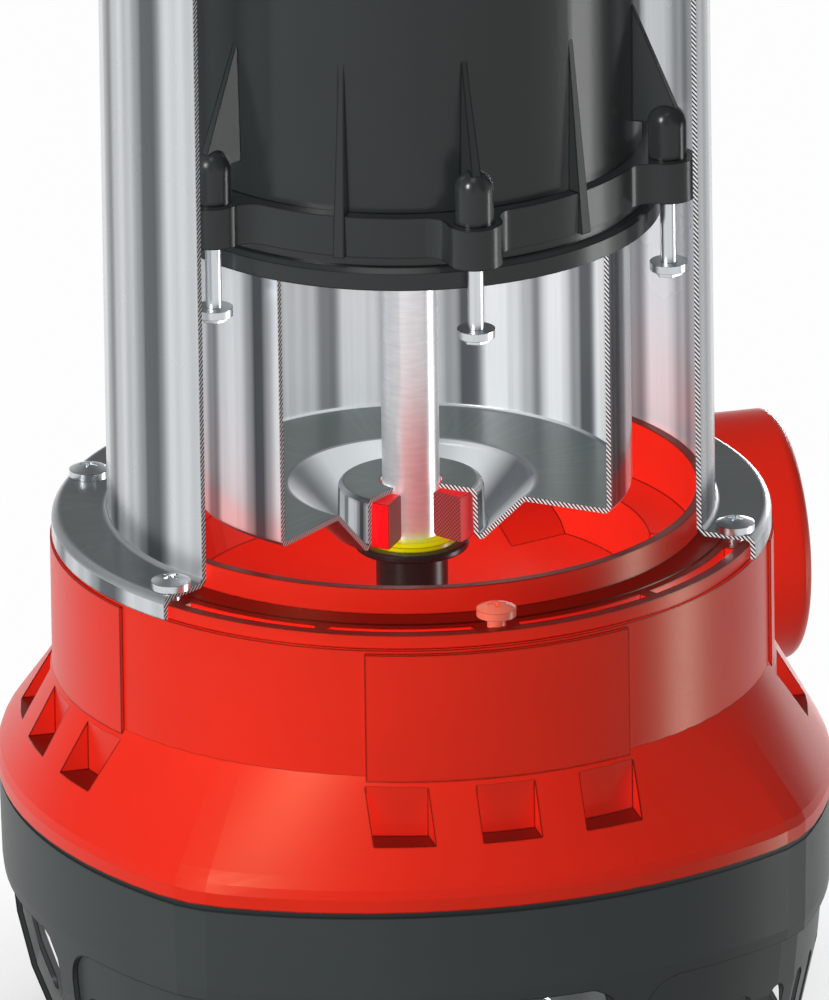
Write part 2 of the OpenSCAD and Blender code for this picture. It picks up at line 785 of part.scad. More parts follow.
module impeller_nut() {
    top = hub_bottom - washer_t;
    color("silver") difference() {
        union() {
            translate([0, 0, top - nut_t]) cylinder(r = stud_r * 1.85, h = nut_t, $fn = 6);
            translate([0, 0, top - nut_t - 3]) cylinder(r = stud_r * 1.35, h = 4, $fn = 48);
        }
        translate([0, 0, top - nut_t - 4]) cylinder(r = stud_r + fit, h = 30);
    }
}

module shaft() {
    step = hub_bottom + 4;
    core_low = stack_z - 6;
    core_high = stack_top + 6;
    tip = hub_bottom - washer_t - nut_t - 1.5;
    top = upper_bearing_z + upper_bearing[2] - 0.5;
    color("silver") rotate_extrude() polygon([
        [0, tip], [stud_r - 0.8, tip], [stud_r, tip + 0.8], [stud_r, step], [shaft_r, step],
        [shaft_r, core_low], [core_shaft_r, core_low], [core_shaft_r, core_high],
        [upper_bearing[0] + 2, core_high], [upper_bearing[0] + 2, upper_bearing_z],
        [upper_bearing[0], upper_bearing_z], [upper_bearing[0], top - 0.6],
        [upper_bearing[0] - 0.6, top], [0, top]
    ]);
}

// Black cup that turns with the shaft: a flange on a long sleeve
module seal_cup() {
    top = cup_z + cup_t;
    low = plate_z + plate_t + 2;
    color("black") rotate_extrude() polygon(concat(
        [[shaft_r + fit, low], [sleeve_r, low], [sleeve_r, cup_z]],
        arc([cup_r - 0.6, cup_z + 0.6], 0.6, -90, 0, 3),
        arc([cup_r - 0.6, top - 0.6], 0.6, 0, 90, 3),
        [[shaft_r + fit, top]]
    ));
}

module seal_face_ring() {
    top = cup_z + cup_t;
    color("yellow") rotate_extrude() polygon([
        [shaft_r + fit, top], [face_ring_r, top], [face_ring_r, top + face_ring_t * 0.6],
        [face_ring_r - 1.4, top + face_ring_t], [shaft_r + fit, top + face_ring_t]
    ]);
}

module shaft_seal() {
    low = seal_top - seal_h;
    outer = hub_r - can_t - fit;
    color("red") difference() {
        rotate_extrude() polygon([
            [shaft_r + running, low + 0.6], [shaft_r + running + 0.8, low], [outer, low],
            [outer, seal_top], [shaft_r + running + 0.8, seal_top], [shaft_r + running, seal_top - 0.6]
        ]);
        sector(seal_window, 40, low - cut, seal_top + cut);
    }
}

// Drawn steel pot under the motor: side, floor, conical well and a hub for the seal
module oil_chamber() {
    mid = can_t / 2;
    side = can_r - mid;
    floor_mid = can_floor - mid;
    well_mid = can_floor - well_depth - mid + 0.6;
    hub_mid = hub_r - mid;
    path = concat(
        [[side, motor_z + rim_groove]],
        arc([side - 1.6, floor_mid + 1.6], 1.6, 0, -90, 5),
        arc([well_top_r + 2.2, floor_mid - 2.2], 2.2, 90, 152, 5),
        arc([hub_mid + 2.4, well_mid + 1.2], 1.2, -28, -180, 8),
        arc([hub_mid - 0.2, floor_mid - 1.1], 1.2, 0, 90, 4),
        [[shaft_r + 0.6, floor_mid + 0.1]]
    );
    color("gainsboro") difference() {
        rotate_extrude() polygon(sheet(path, can_t));
        sector(can_window, can_r + 10, ledge_z - 20, motor_z + rim_groove + cut);
    }
}

// Stainless jacket: tube, bend, flange and the curled skirt that stands on the ledge
module motor_jacket() {
    mid = jacket_t / 2;
    tube_mid = jacket_r - mid;
    bend = jacket_bend + mid;
    flange_mid = flange_z + mid;
    skirt_mid = rim_r + 0.25 + mid;
    curl = curl_r - mid;
    path = concat(
        [[tube_mid, jacket_top]],
        arc([tube_mid + bend, flange_mid + bend], bend, 180, 270, 6),
        arc([skirt_mid - curl, flange_mid - curl], curl, 90, 0, 8),
        [[skirt_mid, ledge_z]]
    );
    color("lightgray") difference() {
        rotate_extrude($fn = 180) polygon(sheet(path, jacket_t));
        sector(jacket_window, ring_r + 20, ledge_z - cut, jacket_top + cut);
        for (k = [1 : 5]) at(60 * k, flange_screw_circle, flange_z - 5)
            cylinder(r = flange_screw[0] + 0.3, h = 12, $fn = 32);
    }
}

// O-ring in the corner between collar, rim and jacket, cut where the jacket is cut
module jacket_seal() {
    ring = 1;
    seal_back = 3;
    color("black") difference() {
        rotate_extrude() translate([collar_r + ring + fit, rim_z + ring + fit]) circle(r = ring, $fn = 24);
        sector(jacket_window + seal_back, 100, rim_z - cut, rim_z + 5);
    }
}

module flange_screws() {
    color("silver") for (k = [1 : 5])
        at(60 * k, flange_screw_circle, flange_z + jacket_t) pan_screw(flange_screw, flange_gap + jacket_t + 9);
}

module front_flange_screw() {
    color("salmon") at(0, flange_screw_circle, flange_z + jacket_t)
        pan_screw(flange_screw, flange_gap + jacket_t + 9);
}

// Half plan of the lobed flange: a circle, six lobes and the fillets between them
fillet_r = 6;
fillet_bite = 0.04;
fillet_out = flange_r + fillet_r - fillet_bite;
fillet_reach = lobe_r + fillet_r - fillet_bite;
fillet_turn = acos((pow(fillet_out, 2) + pow(lobe_circle, 2) - pow(fillet_reach, 2)) / (2 * fillet_out * lobe_circle));

module lobed_plan() {
    circle(r = flange_r, $fn = 128);
    for (k = [0 : 5]) rotate(60 * k - 90) {
        translate([lobe_circle, 0]) circle(r = lobe_r, $fn = 64);
        for (side = [-1, 1]) difference() {
            polygon([
                [lobe_circle, 0],
                fillet_out * [cos(fillet_turn), side * sin(fillet_turn)],
                (flange_r - 2) * [cos(fillet_turn), side * sin(fillet_turn)],
                [flange_r - 2, 0]
            ]);
            rotate(side * fillet_turn) translate([fillet_out, 0]) circle(r = fillet_r, $fn = 64);
        }
    }
}

// A gusset that leans on the motor housing, thin at the top and thicker at the foot
module gusset(foot_r, foot_z, top_r, top_z, thin, thick) {
    inner = motor_r - 1;
    polyhedron(
        points = [
            [inner, -thick / 2, foot_z], [foot_r, -thick / 2, foot_z],
            [foot_r, thick / 2, foot_z], [inner, thick / 2, foot_z],
            [inner, -thin / 2, top_z], [top_r, -thin / 2, top_z],
            [top_r, thin / 2, top_z], [inner, thin / 2, top_z]
        ],
        faces = [[0, 1, 2, 3], [7, 6, 5, 4], [0, 4, 5, 1], [1, 5, 6, 2], [2, 6, 7, 3], [3, 7, 4, 0]]
    );
}

shield_lug_turns = [15, 105, 195, 285];
shield_lug_circle = 63.5;
shield_lug_r = 5;

module motor_housing() {
    seal_pocket = motor_seal_r + fit;
    color("dimgray") difference() {
        union() {
            // Lower disc with a small chamfer, and the neck above it
            translate([0, 0, motor_z]) cylinder(r = disc_r, h = disc_t - 1.2, $fn = 128);
            translate([0, 0, motor_z + disc_t - 1.2]) cylinder(r1 = disc_r, r2 = disc_r - 1.2, h = 1.2, $fn = 128);
            translate([0, 0, disc_top - cut]) cylinder(r = flange_r - 0.8, h = neck_h + 2 * cut, $fn = 128);
            translate([0, 0, lobe_z]) linear_extrude(lobe_h) lobed_plan();
            translate([0, 0, lobe_z]) cylinder(r = motor_r, h = shield_z - lobe_z, $fn = 128);
            for (k = [0 : 5]) at(60 * k, lobe_circle, lobe_top - cut) {
                cylinder(r = dome_r, h = dome_h - dome_r + cut, $fn = 64);
                translate([0, 0, dome_h - dome_r + cut]) sphere(r = dome_r, $fn = 64);
            }
            for (k = [0 : 5]) {
                at(60 * k) gusset(lobe_circle + dome_r - 0.6, dome_top - 5, motor_r, gusset_z, 1.4, 2.6);
                at(60 * k + 30) gusset(flange_r + 1.6, lobe_z, motor_r, gusset_z, 1.4, 3);
            }
            for (turn = shield_lug_turns) at(turn, shield_lug_circle, shield_z - 26) {
                cylinder(r = shield_lug_r, h = 26, $fn = 48);
                translate([0, 0, -4]) cylinder(r1 = 1, r2 = shield_lug_r, h = 4, $fn = 48);
            }
        }
        // Inside: stator seat, winding space, bearing seat and seal seat
        translate([0, 0, stack_z]) cylinder(r = housing_in, h = 200, $fn = 128);
        difference() {
            translate([0, 0, disc_top]) cylinder(r = housing_in - 1.5, h = stack_z - disc_top + cut, $fn = 128);
            translate([0, 0, disc_top - cut]) cylinder(r = lower_bearing[1] + 4.5, h = lower_bearing[2] + cut + 3);
        }
        translate([0, 0, lower_bearing_z]) cylinder(r = lower_bearing[1] + fit, h = 20);
        translate([0, 0, motor_z - cut]) cylinder(r = seal_pocket, h = motor_seal_h + cut);
        translate([0, 0, motor_z]) cylinder(r = shaft_r + 2, h = 20);
        // Groove for the rim of the oil chamber
        tube(can_r + fit, can_r - can_t - fit, motor_z - cut, motor_z + rim_groove);
        for (k = [0 : 5]) at(60 * k, lobe_circle, lobe_z - cut)
            cylinder(r = motor_screw[0] + fit, h = lobe_h + cut, $fn = 32);
        for (turn = shield_lug_turns) at(turn, shield_lug_circle, shield_z - 14)
            cylinder(r = small_screw[0] + fit, h = 20, $fn = 32);
    }
}

module motor_screws() {
    color("silver") for (k = [0 : 5]) at(60 * k, lobe_circle, lobe_z - screw_hang) {
        translate([0, 0, -motor_screw[2]]) cylinder(r = motor_screw[1], h = motor_screw[2], $fn = 48);
        translate([0, 0, -motor_screw[2] / 2])
            cylinder(r = motor_screw[0], h = screw_hang + lobe_h - 2 + motor_screw[2] / 2, $fn = 32);
        translate([0, 0, -motor_screw[2] - 1.4]) cylinder(r = motor_screw[1] * 0.72, h = 1.5, $fn = 6);
    }
}

motor_seal_r = 15;
motor_seal_h = 5.6;

module motor_seal() {
    color("black") rotate_extrude() polygon([
        [shaft_r + running, motor_z + 2], [shaft_r + 1.6, motor_z + 0.4], [motor_seal_r, motor_z + 0.4],
        [motor_seal_r, motor_z + motor_seal_h], [shaft_r + 1.6, motor_z + motor_seal_h],
        [shaft_r + running, motor_z + motor_seal_h - 1.2]
    ]);
}

// Pitch radius of a ball bearing
function pitch_r(b) = (b[0] + b[1]) / 2;

module bearing_ring(b, z, inner) {
    land = b[3] * 0.62;
    low_r = inner ? b[0] + fit : pitch_r(b) + land;
    high_r = inner ? pitch_r(b) - land : b[1];
    rotate_extrude() difference() {
        translate([low_r, z]) square([high_r - low_r, b[2]]);
        translate([pitch_r(b), z + b[2] / 2]) circle(r = b[3] + running, $fn = 48);
    }
}

module bearing_balls(b, z) {
    for (k = [0 : b[4] - 1]) at(360 * k / b[4], pitch_r(b), z + b[2] / 2) sphere(r = b[3], $fn = 32);
}

module bearing_cage(b, z) {
    half = b[3] * 0.3;
    high = b[3] * 1.3;
    difference() {
        tube(pitch_r(b) + half, pitch_r(b) - half, z + b[2] / 2 - high, z + b[2] / 2 + high);
        for (k = [0 : b[4] - 1]) at(360 * k / b[4], pitch_r(b), z + b[2] / 2) sphere(r = b[3] + fit, $fn = 32);
    }
}

module lower_bearing_outer() { color("silver") bearing_ring(lower_bearing, lower_bearing_z, false); }
module lower_bearing_inner() { color("silver") bearing_ring(lower_bearing, lower_bearing_z, true); }
module lower_bearing_balls() { color("lightgray") bearing_balls(lower_bearing, lower_bearing_z); }
module lower_bearing_cage() { color("goldenrod") bearing_cage(lower_bearing, lower_bearing_z); }
module upper_bearing_outer() { color("silver") bearing_ring(upper_bearing, upper_bearing_z, false); }
module upper_bearing_inner() { color("silver") bearing_ring(upper_bearing, upper_bearing_z, true); }
module upper_bearing_balls() { color("lightgray") bearing_balls(upper_bearing, upper_bearing_z); }
module upper_bearing_cage() { color("goldenrod") bearing_cage(upper_bearing, upper_bearing_z); }

module rotor_core() {
    color("darkgray") tube(rotor_r, core_shaft_r + fit, stack_z, stack_top);
}

// Cast end rings of the rotor cage, each with short fan blades
module rotor_end_rings() {
    ring_t = 4;
    outer = rotor_r - 1;
    inner = rotor_r - 10;
    color("lightsteelblue") for (end = [0, 1]) {
        low = end == 0 ? stack_z - ring_t : stack_top;
        tube(outer, inner, low, low + ring_t);
        for (k = [0 : 7]) at(45 * k, inner + 2, end == 0 ? low - 5 : low + ring_t - 0.5)
            translate([0, -0.8, 0]) cube([6, 1.6, 5.5]);
    }
}

module stator_core() {
    slot_out = housing_in - 9;
    color("steelblue") difference() {
        tube(housing_in - fit, bore_r, stack_z, stack_top);
        for (k = [0 : stator_slots - 1]) rotate([0, 0, 360 * k / stator_slots]) {
            translate([bore_r + 1.5, -2, stack_z - cut]) cube([slot_out - bore_r - 1.5, 4, stack_h + 2 * cut]);
            translate([bore_r - cut, -0.9, stack_z - cut]) cube([4, 1.8, stack_h + 2 * cut]);
        }
    }
}

module winding(low, high) {
    inner = bore_r + 4;
    outer = housing_in - 4;
    round_r = 4;
    rotate_extrude() polygon(concat(
        arc([outer - round_r, low + round_r], round_r, -90, 0, 4),
        arc([outer - round_r, high - round_r], round_r, 0, 90, 4),
        arc([inner + round_r, high - round_r], round_r, 90, 180, 4),
        arc([inner + round_r, low + round_r], round_r, 180, 270, 4)
    ));
}

module lower_winding() { color("peru") winding(stack_z - winding_h, stack_z); }
module upper_winding() { color("peru") winding(stack_top, stack_top + winding_h); }

cover_post_turns = [45, 135, 225, 315];
cover_post_circle = 54;
cover_post_r = 6;

// Aluminium shield that closes the motor housing and holds the upper bearing
module end_shield() {
    hub = upper_bearing[1] + 4;
    spigot = housing_in - fit;
    color("silver") difference() {
        union() {
            translate([0, 0, shield_z]) cylinder(r = motor_r, h = shield_t, $fn = 128);
            tube(spigot, spigot - 3, shield_z - 3, shield_z + cut);
            translate([0, 0, upper_bearing_z - 2]) cylinder(r = hub, h = jacket_top - upper_bearing_z + 2);
            for (turn = shield_lug_turns) at(turn, shield_lug_circle, shield_z)
                cylinder(r = shield_lug_r, h = shield_t, $fn = 48);
        }
        translate([0, 0, upper_bearing_z - 3]) cylinder(r = upper_bearing[1] + fit, h = upper_bearing[2] + 3);
        for (turn = shield_lug_turns) at(turn, shield_lug_circle, shield_z - cut)
            cylinder(r = small_screw[0] + 0.3, h = 40, $fn = 32);
        for (turn = cover_post_turns) at(turn, cover_post_circle, jacket_top - 7)
            cylinder(r = small_screw[0] + fit, h = 20, $fn = 32);
    }
}

module shield_screws() {
    color("silver") for (turn = shield_lug_turns)
        at(turn, shield_lug_circle, jacket_top) pan_screw(small_screw, shield_t + 12);
}

capacitor_r = 15;
capacitor_len = 68;

// Run capacitor that lies on the end shield
module capacitor() {
    low = jacket_top + clear + capacitor_r;
    color("lightgray") translate([-capacitor_len / 2 - 3, 0, low]) rotate([0, 90, 0]) {
        rotate_extrude() polygon(concat(
            [[0, 0], [capacitor_r - 1, 0]],
            arc([capacitor_r - 1, 1], 1, -90, 0, 3),
            [[capacitor_r, capacitor_len - 5], [capacitor_r - 0.8, capacitor_len - 4.4]],
            [[capacitor_r - 0.8, capacitor_len - 3], [capacitor_r, capacitor_len - 2.4]],
            arc([capacitor_r - 1, capacitor_len - 1], 1, 0, 90, 3),
            [[0, capacitor_len]]
        ));
        for (side = [-1, 1]) translate([-0.4, side * 6 - 3, capacitor_len - 0.5]) cube([0.8, 6, 7]);
    }
}

// Each foot of the handle has a screw on either side of the leg
handle_screw_y = handle_w / 2 + 6;
handle_foot_r = 7;
handle_foot_t = 5;

// Place of the cable gland on the top cover
gland_turn = 180;
gland_circle = 46;
gland_hole_r = 8;
plug_depth = 10;
cover_seal_r = 1.5;
head_recess = 3.5;

module top_cover() {
    round_r = 14;
    plug_r = jacket_in - clear;
    inner = plug_r - cover_wall;
    inner_round = round_r - cover_wall;
    roof = cover_top - cover_wall;
    groove_z = jacket_top - plug_depth / 2;
    color("dimgray") difference() {
        union() {
            rotate_extrude($fn = 128) polygon(concat(
                [[inner, jacket_top - plug_depth], [plug_r, jacket_top - plug_depth]],
                [[plug_r, jacket_top], [cover_r - 1, jacket_top], [cover_r, jacket_top + 1]],
                arc([cover_r - round_r, cover_top - round_r], round_r, 0, 90, 8),
                [[0, cover_top], [0, roof]],
                arc([inner - inner_round, roof - inner_round], inner_round, 90, 0, 6)
            ));
            for (turn = cover_post_turns) at(turn, cover_post_circle, jacket_top)
                cylinder(r = cover_post_r, h = cover_h - cut, $fn = 48);
            at(gland_turn, gland_circle, roof) cylinder(r = 13, h = cover_wall + 4, $fn = 64);
        }
        translate([0, 0, groove_z - 1.7]) tube(plug_r + 1, plug_r + 0.1 - 2 * cover_seal_r, 0, 3.4);
        for (turn = cover_post_turns) at(turn, cover_post_circle, jacket_top - cut) {
            cylinder(r = small_screw[0] + 0.4, h = cover_h + 3 * cut, $fn = 32);
            translate([0, 0, cover_h + cut - head_recess]) cylinder(r = small_screw[1] + 0.4, h = 10, $fn = 48);
        }
        at(gland_turn, gland_circle, roof - 5) cylinder(r = gland_hole_r + fit, h = 30, $fn = 48);
        for (x = [-1, 1]) for (y = [-1, 1])
            translate([x * handle_leg, y * handle_screw_y, roof - cut])
                cylinder(r = small_screw[0] + fit, h = 20, $fn = 32);
    }
    // Blind bosses under the roof for the handle screws
    color("dimgray") for (x = [-1, 1]) for (y = [-1, 1])
        translate([x * handle_leg, y * handle_screw_y, roof - 8]) difference() {
            cylinder(r = small_screw[0] + 2.5, h = 8 + 0.5, $fn = 48);
            translate([0, 0, 1.5]) cylinder(r = small_screw[0] + fit, h = 20, $fn = 32);
        }
}

module cover_seal() {
    color("black") translate([0, 0, jacket_top - plug_depth / 2])
        rotate_extrude() translate([jacket_in - 0.1 - cover_seal_r, 0]) circle(r = cover_seal_r, $fn = 24);
}

module cover_screws() {
    color("silver") for (turn = cover_post_turns)
        at(turn, cover_post_circle, cover_top - head_recess) pan_screw(small_screw, cover_h - head_recess + 6);
}

// Section of the handle: a flat bar with round edges
module handle_section() {
    flat = handle_w - handle_t;
    square([handle_t, flat], center = true);
    for (side = [-1, 1]) translate([0, side * flat / 2]) circle(d = handle_t, $fn = 48);
}

module handle() {
    bend = 18;
    axis_z = cover_top + handle_h - handle_t / 2;
    color("dimgray") difference() {
        union() {
            for (side = [-1, 1]) {
                translate([side * handle_leg, 0, cover_top]) linear_extrude(axis_z - bend - cover_top) handle_section();
                translate([side * handle_leg, 0, cover_top]) linear_extrude(handle_foot_t) {
                    square([2 * handle_foot_r, 2 * handle_screw_y], center = true);
                    for (y = [-1, 1]) translate([0, y * handle_screw_y]) circle(r = handle_foot_r, $fn = 48);
                }
                translate([side * (handle_leg - bend), 0, axis_z - bend]) rotate([0, 0, side > 0 ? 0 : 180])
                    rotate([90, 0, 0]) rotate_extrude(angle = 90) translate([bend, 0]) handle_section();
            }
            translate([-handle_leg + bend, 0, axis_z]) rotate([0, 90, 0])
                linear_extrude(2 * (handle_leg - bend)) handle_section();
        }
        for (x = [-1, 1]) for (y = [-1, 1])
            translate([x * handle_leg, y * handle_screw_y, cover_top - cut])
                cylinder(r = small_screw[0] + 0.3, h = handle_foot_t + 2 * cut, $fn = 32);
    }
}

module handle_screws() {
    color("silver") for (x = [-1, 1]) for (y = [-1, 1])
        translate([x * handle_leg, y * handle_screw_y, cover_top + handle_foot_t]) pan_screw(small_screw, 13);
}

gland_base = cover_top + 4;

module gland_body() {
    color("dimgray") at(gland_turn, gland_circle) difference() {
        union() {
            translate([0, 0, gland_base]) cylinder(r = 12, h = 5, $fn = 6);
            translate([0, 0, gland_base + 5 - 0.5]) cylinder(r = 9, h = 8.5, $fn = 64);
            translate([0, 0, gland_base - 9]) cylinder(r = gland_hole_r, h = 10, $fn = 64);
        }
        translate([0, 0, gland_base - 10]) cylinder(r = cable_r + 0.8, h = 40, $fn = 48);
        translate([0, 0, gland_base + 6]) cylinder(r = 7, h = 40, $fn = 48);
    }
}

module gland_seal() {
    color("black") at(gland_turn, gland_circle)
        tube(7 - fit, cable_r, gland_base + 6, gland_base + 14);
}

module gland_nut() {
    low = gland_base + 5.3;
    color("dimgray") at(gland_turn, gland_circle) difference() {
        union() {
            translate([0, 0, low]) cylinder(r = 12, h = 7, $fn = 6);
            rotate_extrude($fn = 64) polygon(concat(
                [[0, low + 2], [10.3, low + 2], [10.3, low + 9]],
                arc([7.3, low + 9], 3, 0, 90, 5),
                [[0, low + 12]]
            ));
        }
        translate([0, 0, low - cut]) cylinder(r = 9 + fit, h = 8.9, $fn = 64);
        translate([0, 0, low - cut]) cylinder(r = cable_r + 1, h = 40, $fn = 48);
        translate([0, 0, low + 2]) cylinder(r = 7 + fit, h = 6.9, $fn = 48);
    }
}

strainer_base();
base_plate();
base_plate_screws();
base_gasket();
base_screws();
suction_cover();
suction_cover_screws();
pump_housing();
impeller();
impeller_washer();
impeller_nut();
shaft();
seal_cup();
seal_face_ring();
shaft_seal();
oil_chamber();
motor_jacket();
jacket_seal();
flange_screws();
front_flange_screw();
motor_housing();
motor_screws();
motor_seal();
lower_bearing_outer();
lower_bearing_inner();
lower_bearing_balls();
lower_bearing_cage();
rotor_core();
rotor_end_rings();
stator_core();
lower_winding();
upper_winding();
upper_bearing_outer();
upper_bearing_inner();
upper_bearing_balls();
upper_bearing_cage();
end_shield();
shield_screws();
capacitor();
top_cover();
cover_seal();
cover_screws();
handle();
handle_screws();
gland_body();
gland_seal();
gland_nut();
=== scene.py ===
"""Studio picture of a sectioned submersible drainage pump.

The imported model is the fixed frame. Each sub-assembly below dresses its own pieces
and builds the fine pieces that the frame leaves out. Then come floor, light and camera.
Lengths are in metres, and the angles of lamps, camera and cuts in degrees.
"""

import logging
import math
from dataclasses import dataclass, field
from enum import Enum

import bmesh
import bpy
from mathutils import Matrix, Vector

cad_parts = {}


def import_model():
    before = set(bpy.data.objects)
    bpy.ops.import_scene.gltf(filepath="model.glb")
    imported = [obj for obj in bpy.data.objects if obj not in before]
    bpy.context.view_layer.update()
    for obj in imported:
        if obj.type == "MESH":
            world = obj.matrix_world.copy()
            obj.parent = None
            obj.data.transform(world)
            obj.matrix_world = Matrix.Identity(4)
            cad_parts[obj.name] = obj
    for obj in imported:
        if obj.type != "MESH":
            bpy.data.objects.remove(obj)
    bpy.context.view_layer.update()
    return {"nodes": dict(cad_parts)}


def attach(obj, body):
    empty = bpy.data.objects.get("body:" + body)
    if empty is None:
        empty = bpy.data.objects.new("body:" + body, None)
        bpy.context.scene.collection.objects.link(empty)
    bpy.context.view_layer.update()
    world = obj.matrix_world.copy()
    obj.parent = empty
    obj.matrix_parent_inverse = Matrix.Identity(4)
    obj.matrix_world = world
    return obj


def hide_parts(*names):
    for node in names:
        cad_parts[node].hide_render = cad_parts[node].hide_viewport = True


LOG = logging.getLogger("pump")
MM = 0.001

Colour = tuple[float, float, float, float]
Point = tuple[float, float, float]
WHITE: Colour = (1.0, 1.0, 1.0, 1.0)
BLACK: Colour = (0.01, 0.01, 0.01, 1.0)
DARK_GREY: Colour = (0.1, 0.1, 0.1, 1.0)


class Body(Enum):
    """The rigid body that new pieces ride on."""

    HOUSING = "housing"


class Slot(Enum):
    """The record's material slots, named when new pieces are seated."""

    HOUSING_RED = "housing_red"
    WINDING_COPPER = "winding_copper"
    CAST_ALUMINIUM = "cast_aluminium"


class Mixed(Enum):
    """What a Mix node mixes: its data type, the places of its two inputs and that of its output."""

    COLOUR = ("RGBA", 6, 7, 2)
    VECTOR = ("VECTOR", 4, 5, 1)


class Stroke(Enum):
    """The way that the fine marks run on a metal."""

    UPRIGHT = 1.0
    ROUND = 0.0


def srgb(red: int, green: int, blue: int) -> Colour:
    """A colour as a picture editor shows it, turned into linear light.

    Args:
        red: Red from 0 to 255.
        green: Green from 0 to 255.
        blue: Blue from 0 to 255.

    Returns:
        The colour as red, green, blue and alpha in linear light.
    """
    full, knee, slope, shift, power = 255, 0.04045, 12.92, 0.055, 2.4

    def linear(value: int) -> float:
        """One channel in linear light."""
        share = value / full
        return share / slope if share <= knee else ((share + shift) / (1 + shift)) ** power

    return (linear(red), linear(green), linear(blue), 1.0)


def towards(azimuth: float, elevation: float) -> Vector:
    """The direction in which a lamp or the camera stands from the pump.

    Args:
        azimuth: Turn round the pump from its front, to the right where positive.
        elevation: Height above the level.

    Returns:
        The direction, one metre long.
    """
    turn, tilt = math.radians(azimuth), math.radians(elevation)
    return Vector((math.sin(turn) * math.cos(tilt), -math.cos(turn) * math.cos(tilt), math.sin(tilt)))


# Node helpers


class NodeSheet:
    """Adds and joins nodes in one tree, and keeps them in rows for reading."""

    row_length = 8
    column_step = 220
    row_step = 240
    noise_range = (0.3, 0.7)

    def __init__(self, tree: bpy.types.NodeTree) -> None:
        """Starts an empty sheet on a tree."""
        self.tree = tree
        self.tree.nodes.clear()
        self.count = 0

    def add(self, kind: str, **values: object) -> bpy.types.Node:
        """Adds a node.

        Args:
            kind: The node's type, such as ShaderNodeMath.
            **values: Attributes to set on it.

        Returns:
            The new node.
        """
        node = self.tree.nodes.new(kind)
        row, column = divmod(self.count, self.row_length)
        node.location = (self.column_step * column, -self.row_step * row)
        self.count += 1
        for name, value in values.items():
            setattr(node, name, value)
        return node

    def feed(self, socket: bpy.types.NodeSocket, source: object) -> None:
        """Links a socket to a source socket, or sets it to a plain value."""
        if isinstance(source, bpy.types.NodeSocket):
            self.tree.links.new(source, socket)
        else:
            socket.default_value = source

    def math(self, operation: str, *sources: object, clamp: bool = False) -> bpy.types.NodeSocket:
        """Adds a Math node.

        Args:
            operation: The node's operation.
            *sources: Sockets or numbers for its inputs.
            clamp: Whether the result is held between 0 and 1.

        Returns:
            The node's value socket.
        """
        node = self.add("ShaderNodeMath", operation=operation, use_clamp=clamp)
        for place, source in enumerate(sources):
            self.feed(node.inputs[place], source)
        return node.outputs[0]

    def times(self, first: object, second: object) -> bpy.types.NodeSocket:
        """The product of two values."""
        return self.math("MULTIPLY", first, second)

    def plus(self, first: object, second: object) -> bpy.types.NodeSocket:
        """The sum of two values."""
        return self.math("ADD", first, second)

    def minus(self, first: object, second: object) -> bpy.types.NodeSocket:
        """The first value less the second."""
        return self.math("SUBTRACT", first, second)

    def mix(self, factor: object, first: object, second: object, blend: str = "MIX",
            kind: Mixed = Mixed.COLOUR) -> bpy.types.NodeSocket:
        """Adds a Mix node for colours or vectors.

        Args:
            factor: Socket or number between first and second.
            first: The colour or vector at 0.
            second: The colour or vector at 1.
            blend: The node's blend type.
            kind: What the node mixes.

        Returns:
            The node's socket for the mixed colour or vector.
        """
        data_type, low, high, result = kind.value
        node = self.add("ShaderNodeMix", data_type=data_type, blend_type=blend)
        self.feed(node.inputs["Factor"], factor)
        self.feed(node.inputs[low], first)
        self.feed(node.inputs[high], second)
        return node.outputs[result]

    def ramp(self, value: object, low: float, high: float, to_low: float = 0.0,
             to_high: float = 1.0) -> bpy.types.NodeSocket:
        """Maps a value from one range to another, held at both ends.

        Args:
            value: The socket to map.
            low: Value that becomes to_low.
            high: Value that becomes to_high.
            to_low: Result at low.
            to_high: Result at high.

        Returns:
            The mapped value socket.
        """
        node = self.add("ShaderNodeMapRange")
        for place, source in enumerate((value, low, high, to_low, to_high)):
            self.feed(node.inputs[place], source)
        return node.outputs[0]

    def varied(self, noise: object, middle: float, swing: float) -> bpy.types.NodeSocket:
        """A value that follows a noise up and down.

        Args:
            noise: The noise's socket.
            middle: The value where the noise is 0.5.
            swing: How far the value goes to either side.

        Returns:
            The value's socket.
        """
        return self.ramp(noise, *self.noise_range, middle - swing, middle + swing)

    def tinted(self, colour: object, shade: object) -> bpy.types.NodeSocket:
        """A colour made lighter or darker by a value."""
        node = self.add("ShaderNodeVectorMath", operation="SCALE")
        self.feed(node.inputs[0], colour[:3] if isinstance(colour, tuple) else colour)
        self.feed(node.inputs["Scale"], shade)
        return node.outputs[0]

    def object_point(self) -> bpy.types.NodeSocket:
        """The point on the object, in metres, in the row frame at rest."""
        return self.add("ShaderNodeTexCoord").outputs["Object"]

    def normal(self) -> bpy.types.NodeSocket:
        """The surface's own normal."""
        return self.add("ShaderNodeNewGeometry").outputs["Normal"]

    def axes(self, vector: bpy.types.NodeSocket) -> list[bpy.types.NodeSocket]:
        """The X, Y and Z of a vector."""
        node = self.add("ShaderNodeSeparateXYZ")
        self.feed(node.inputs[0], vector)
        return [node.outputs[0], node.outputs[1], node.outputs[2]]

    def point(self, x: object, y: object, z: object) -> bpy.types.NodeSocket:
        """A vector from three sockets or numbers."""
        node = self.add("ShaderNodeCombineXYZ")
        for place, source in enumerate((x, y, z)):
            self.feed(node.inputs[place], source)
        return node.outputs[0]

    def dot(self, first: object, second: object) -> bpy.types.NodeSocket:
        """The dot product of two vectors."""
        node = self.add("ShaderNodeVectorMath", operation="DOT_PRODUCT")
        self.feed(node.inputs[0], first)
        self.feed(node.inputs[1], second)
        return node.outputs["Value"]

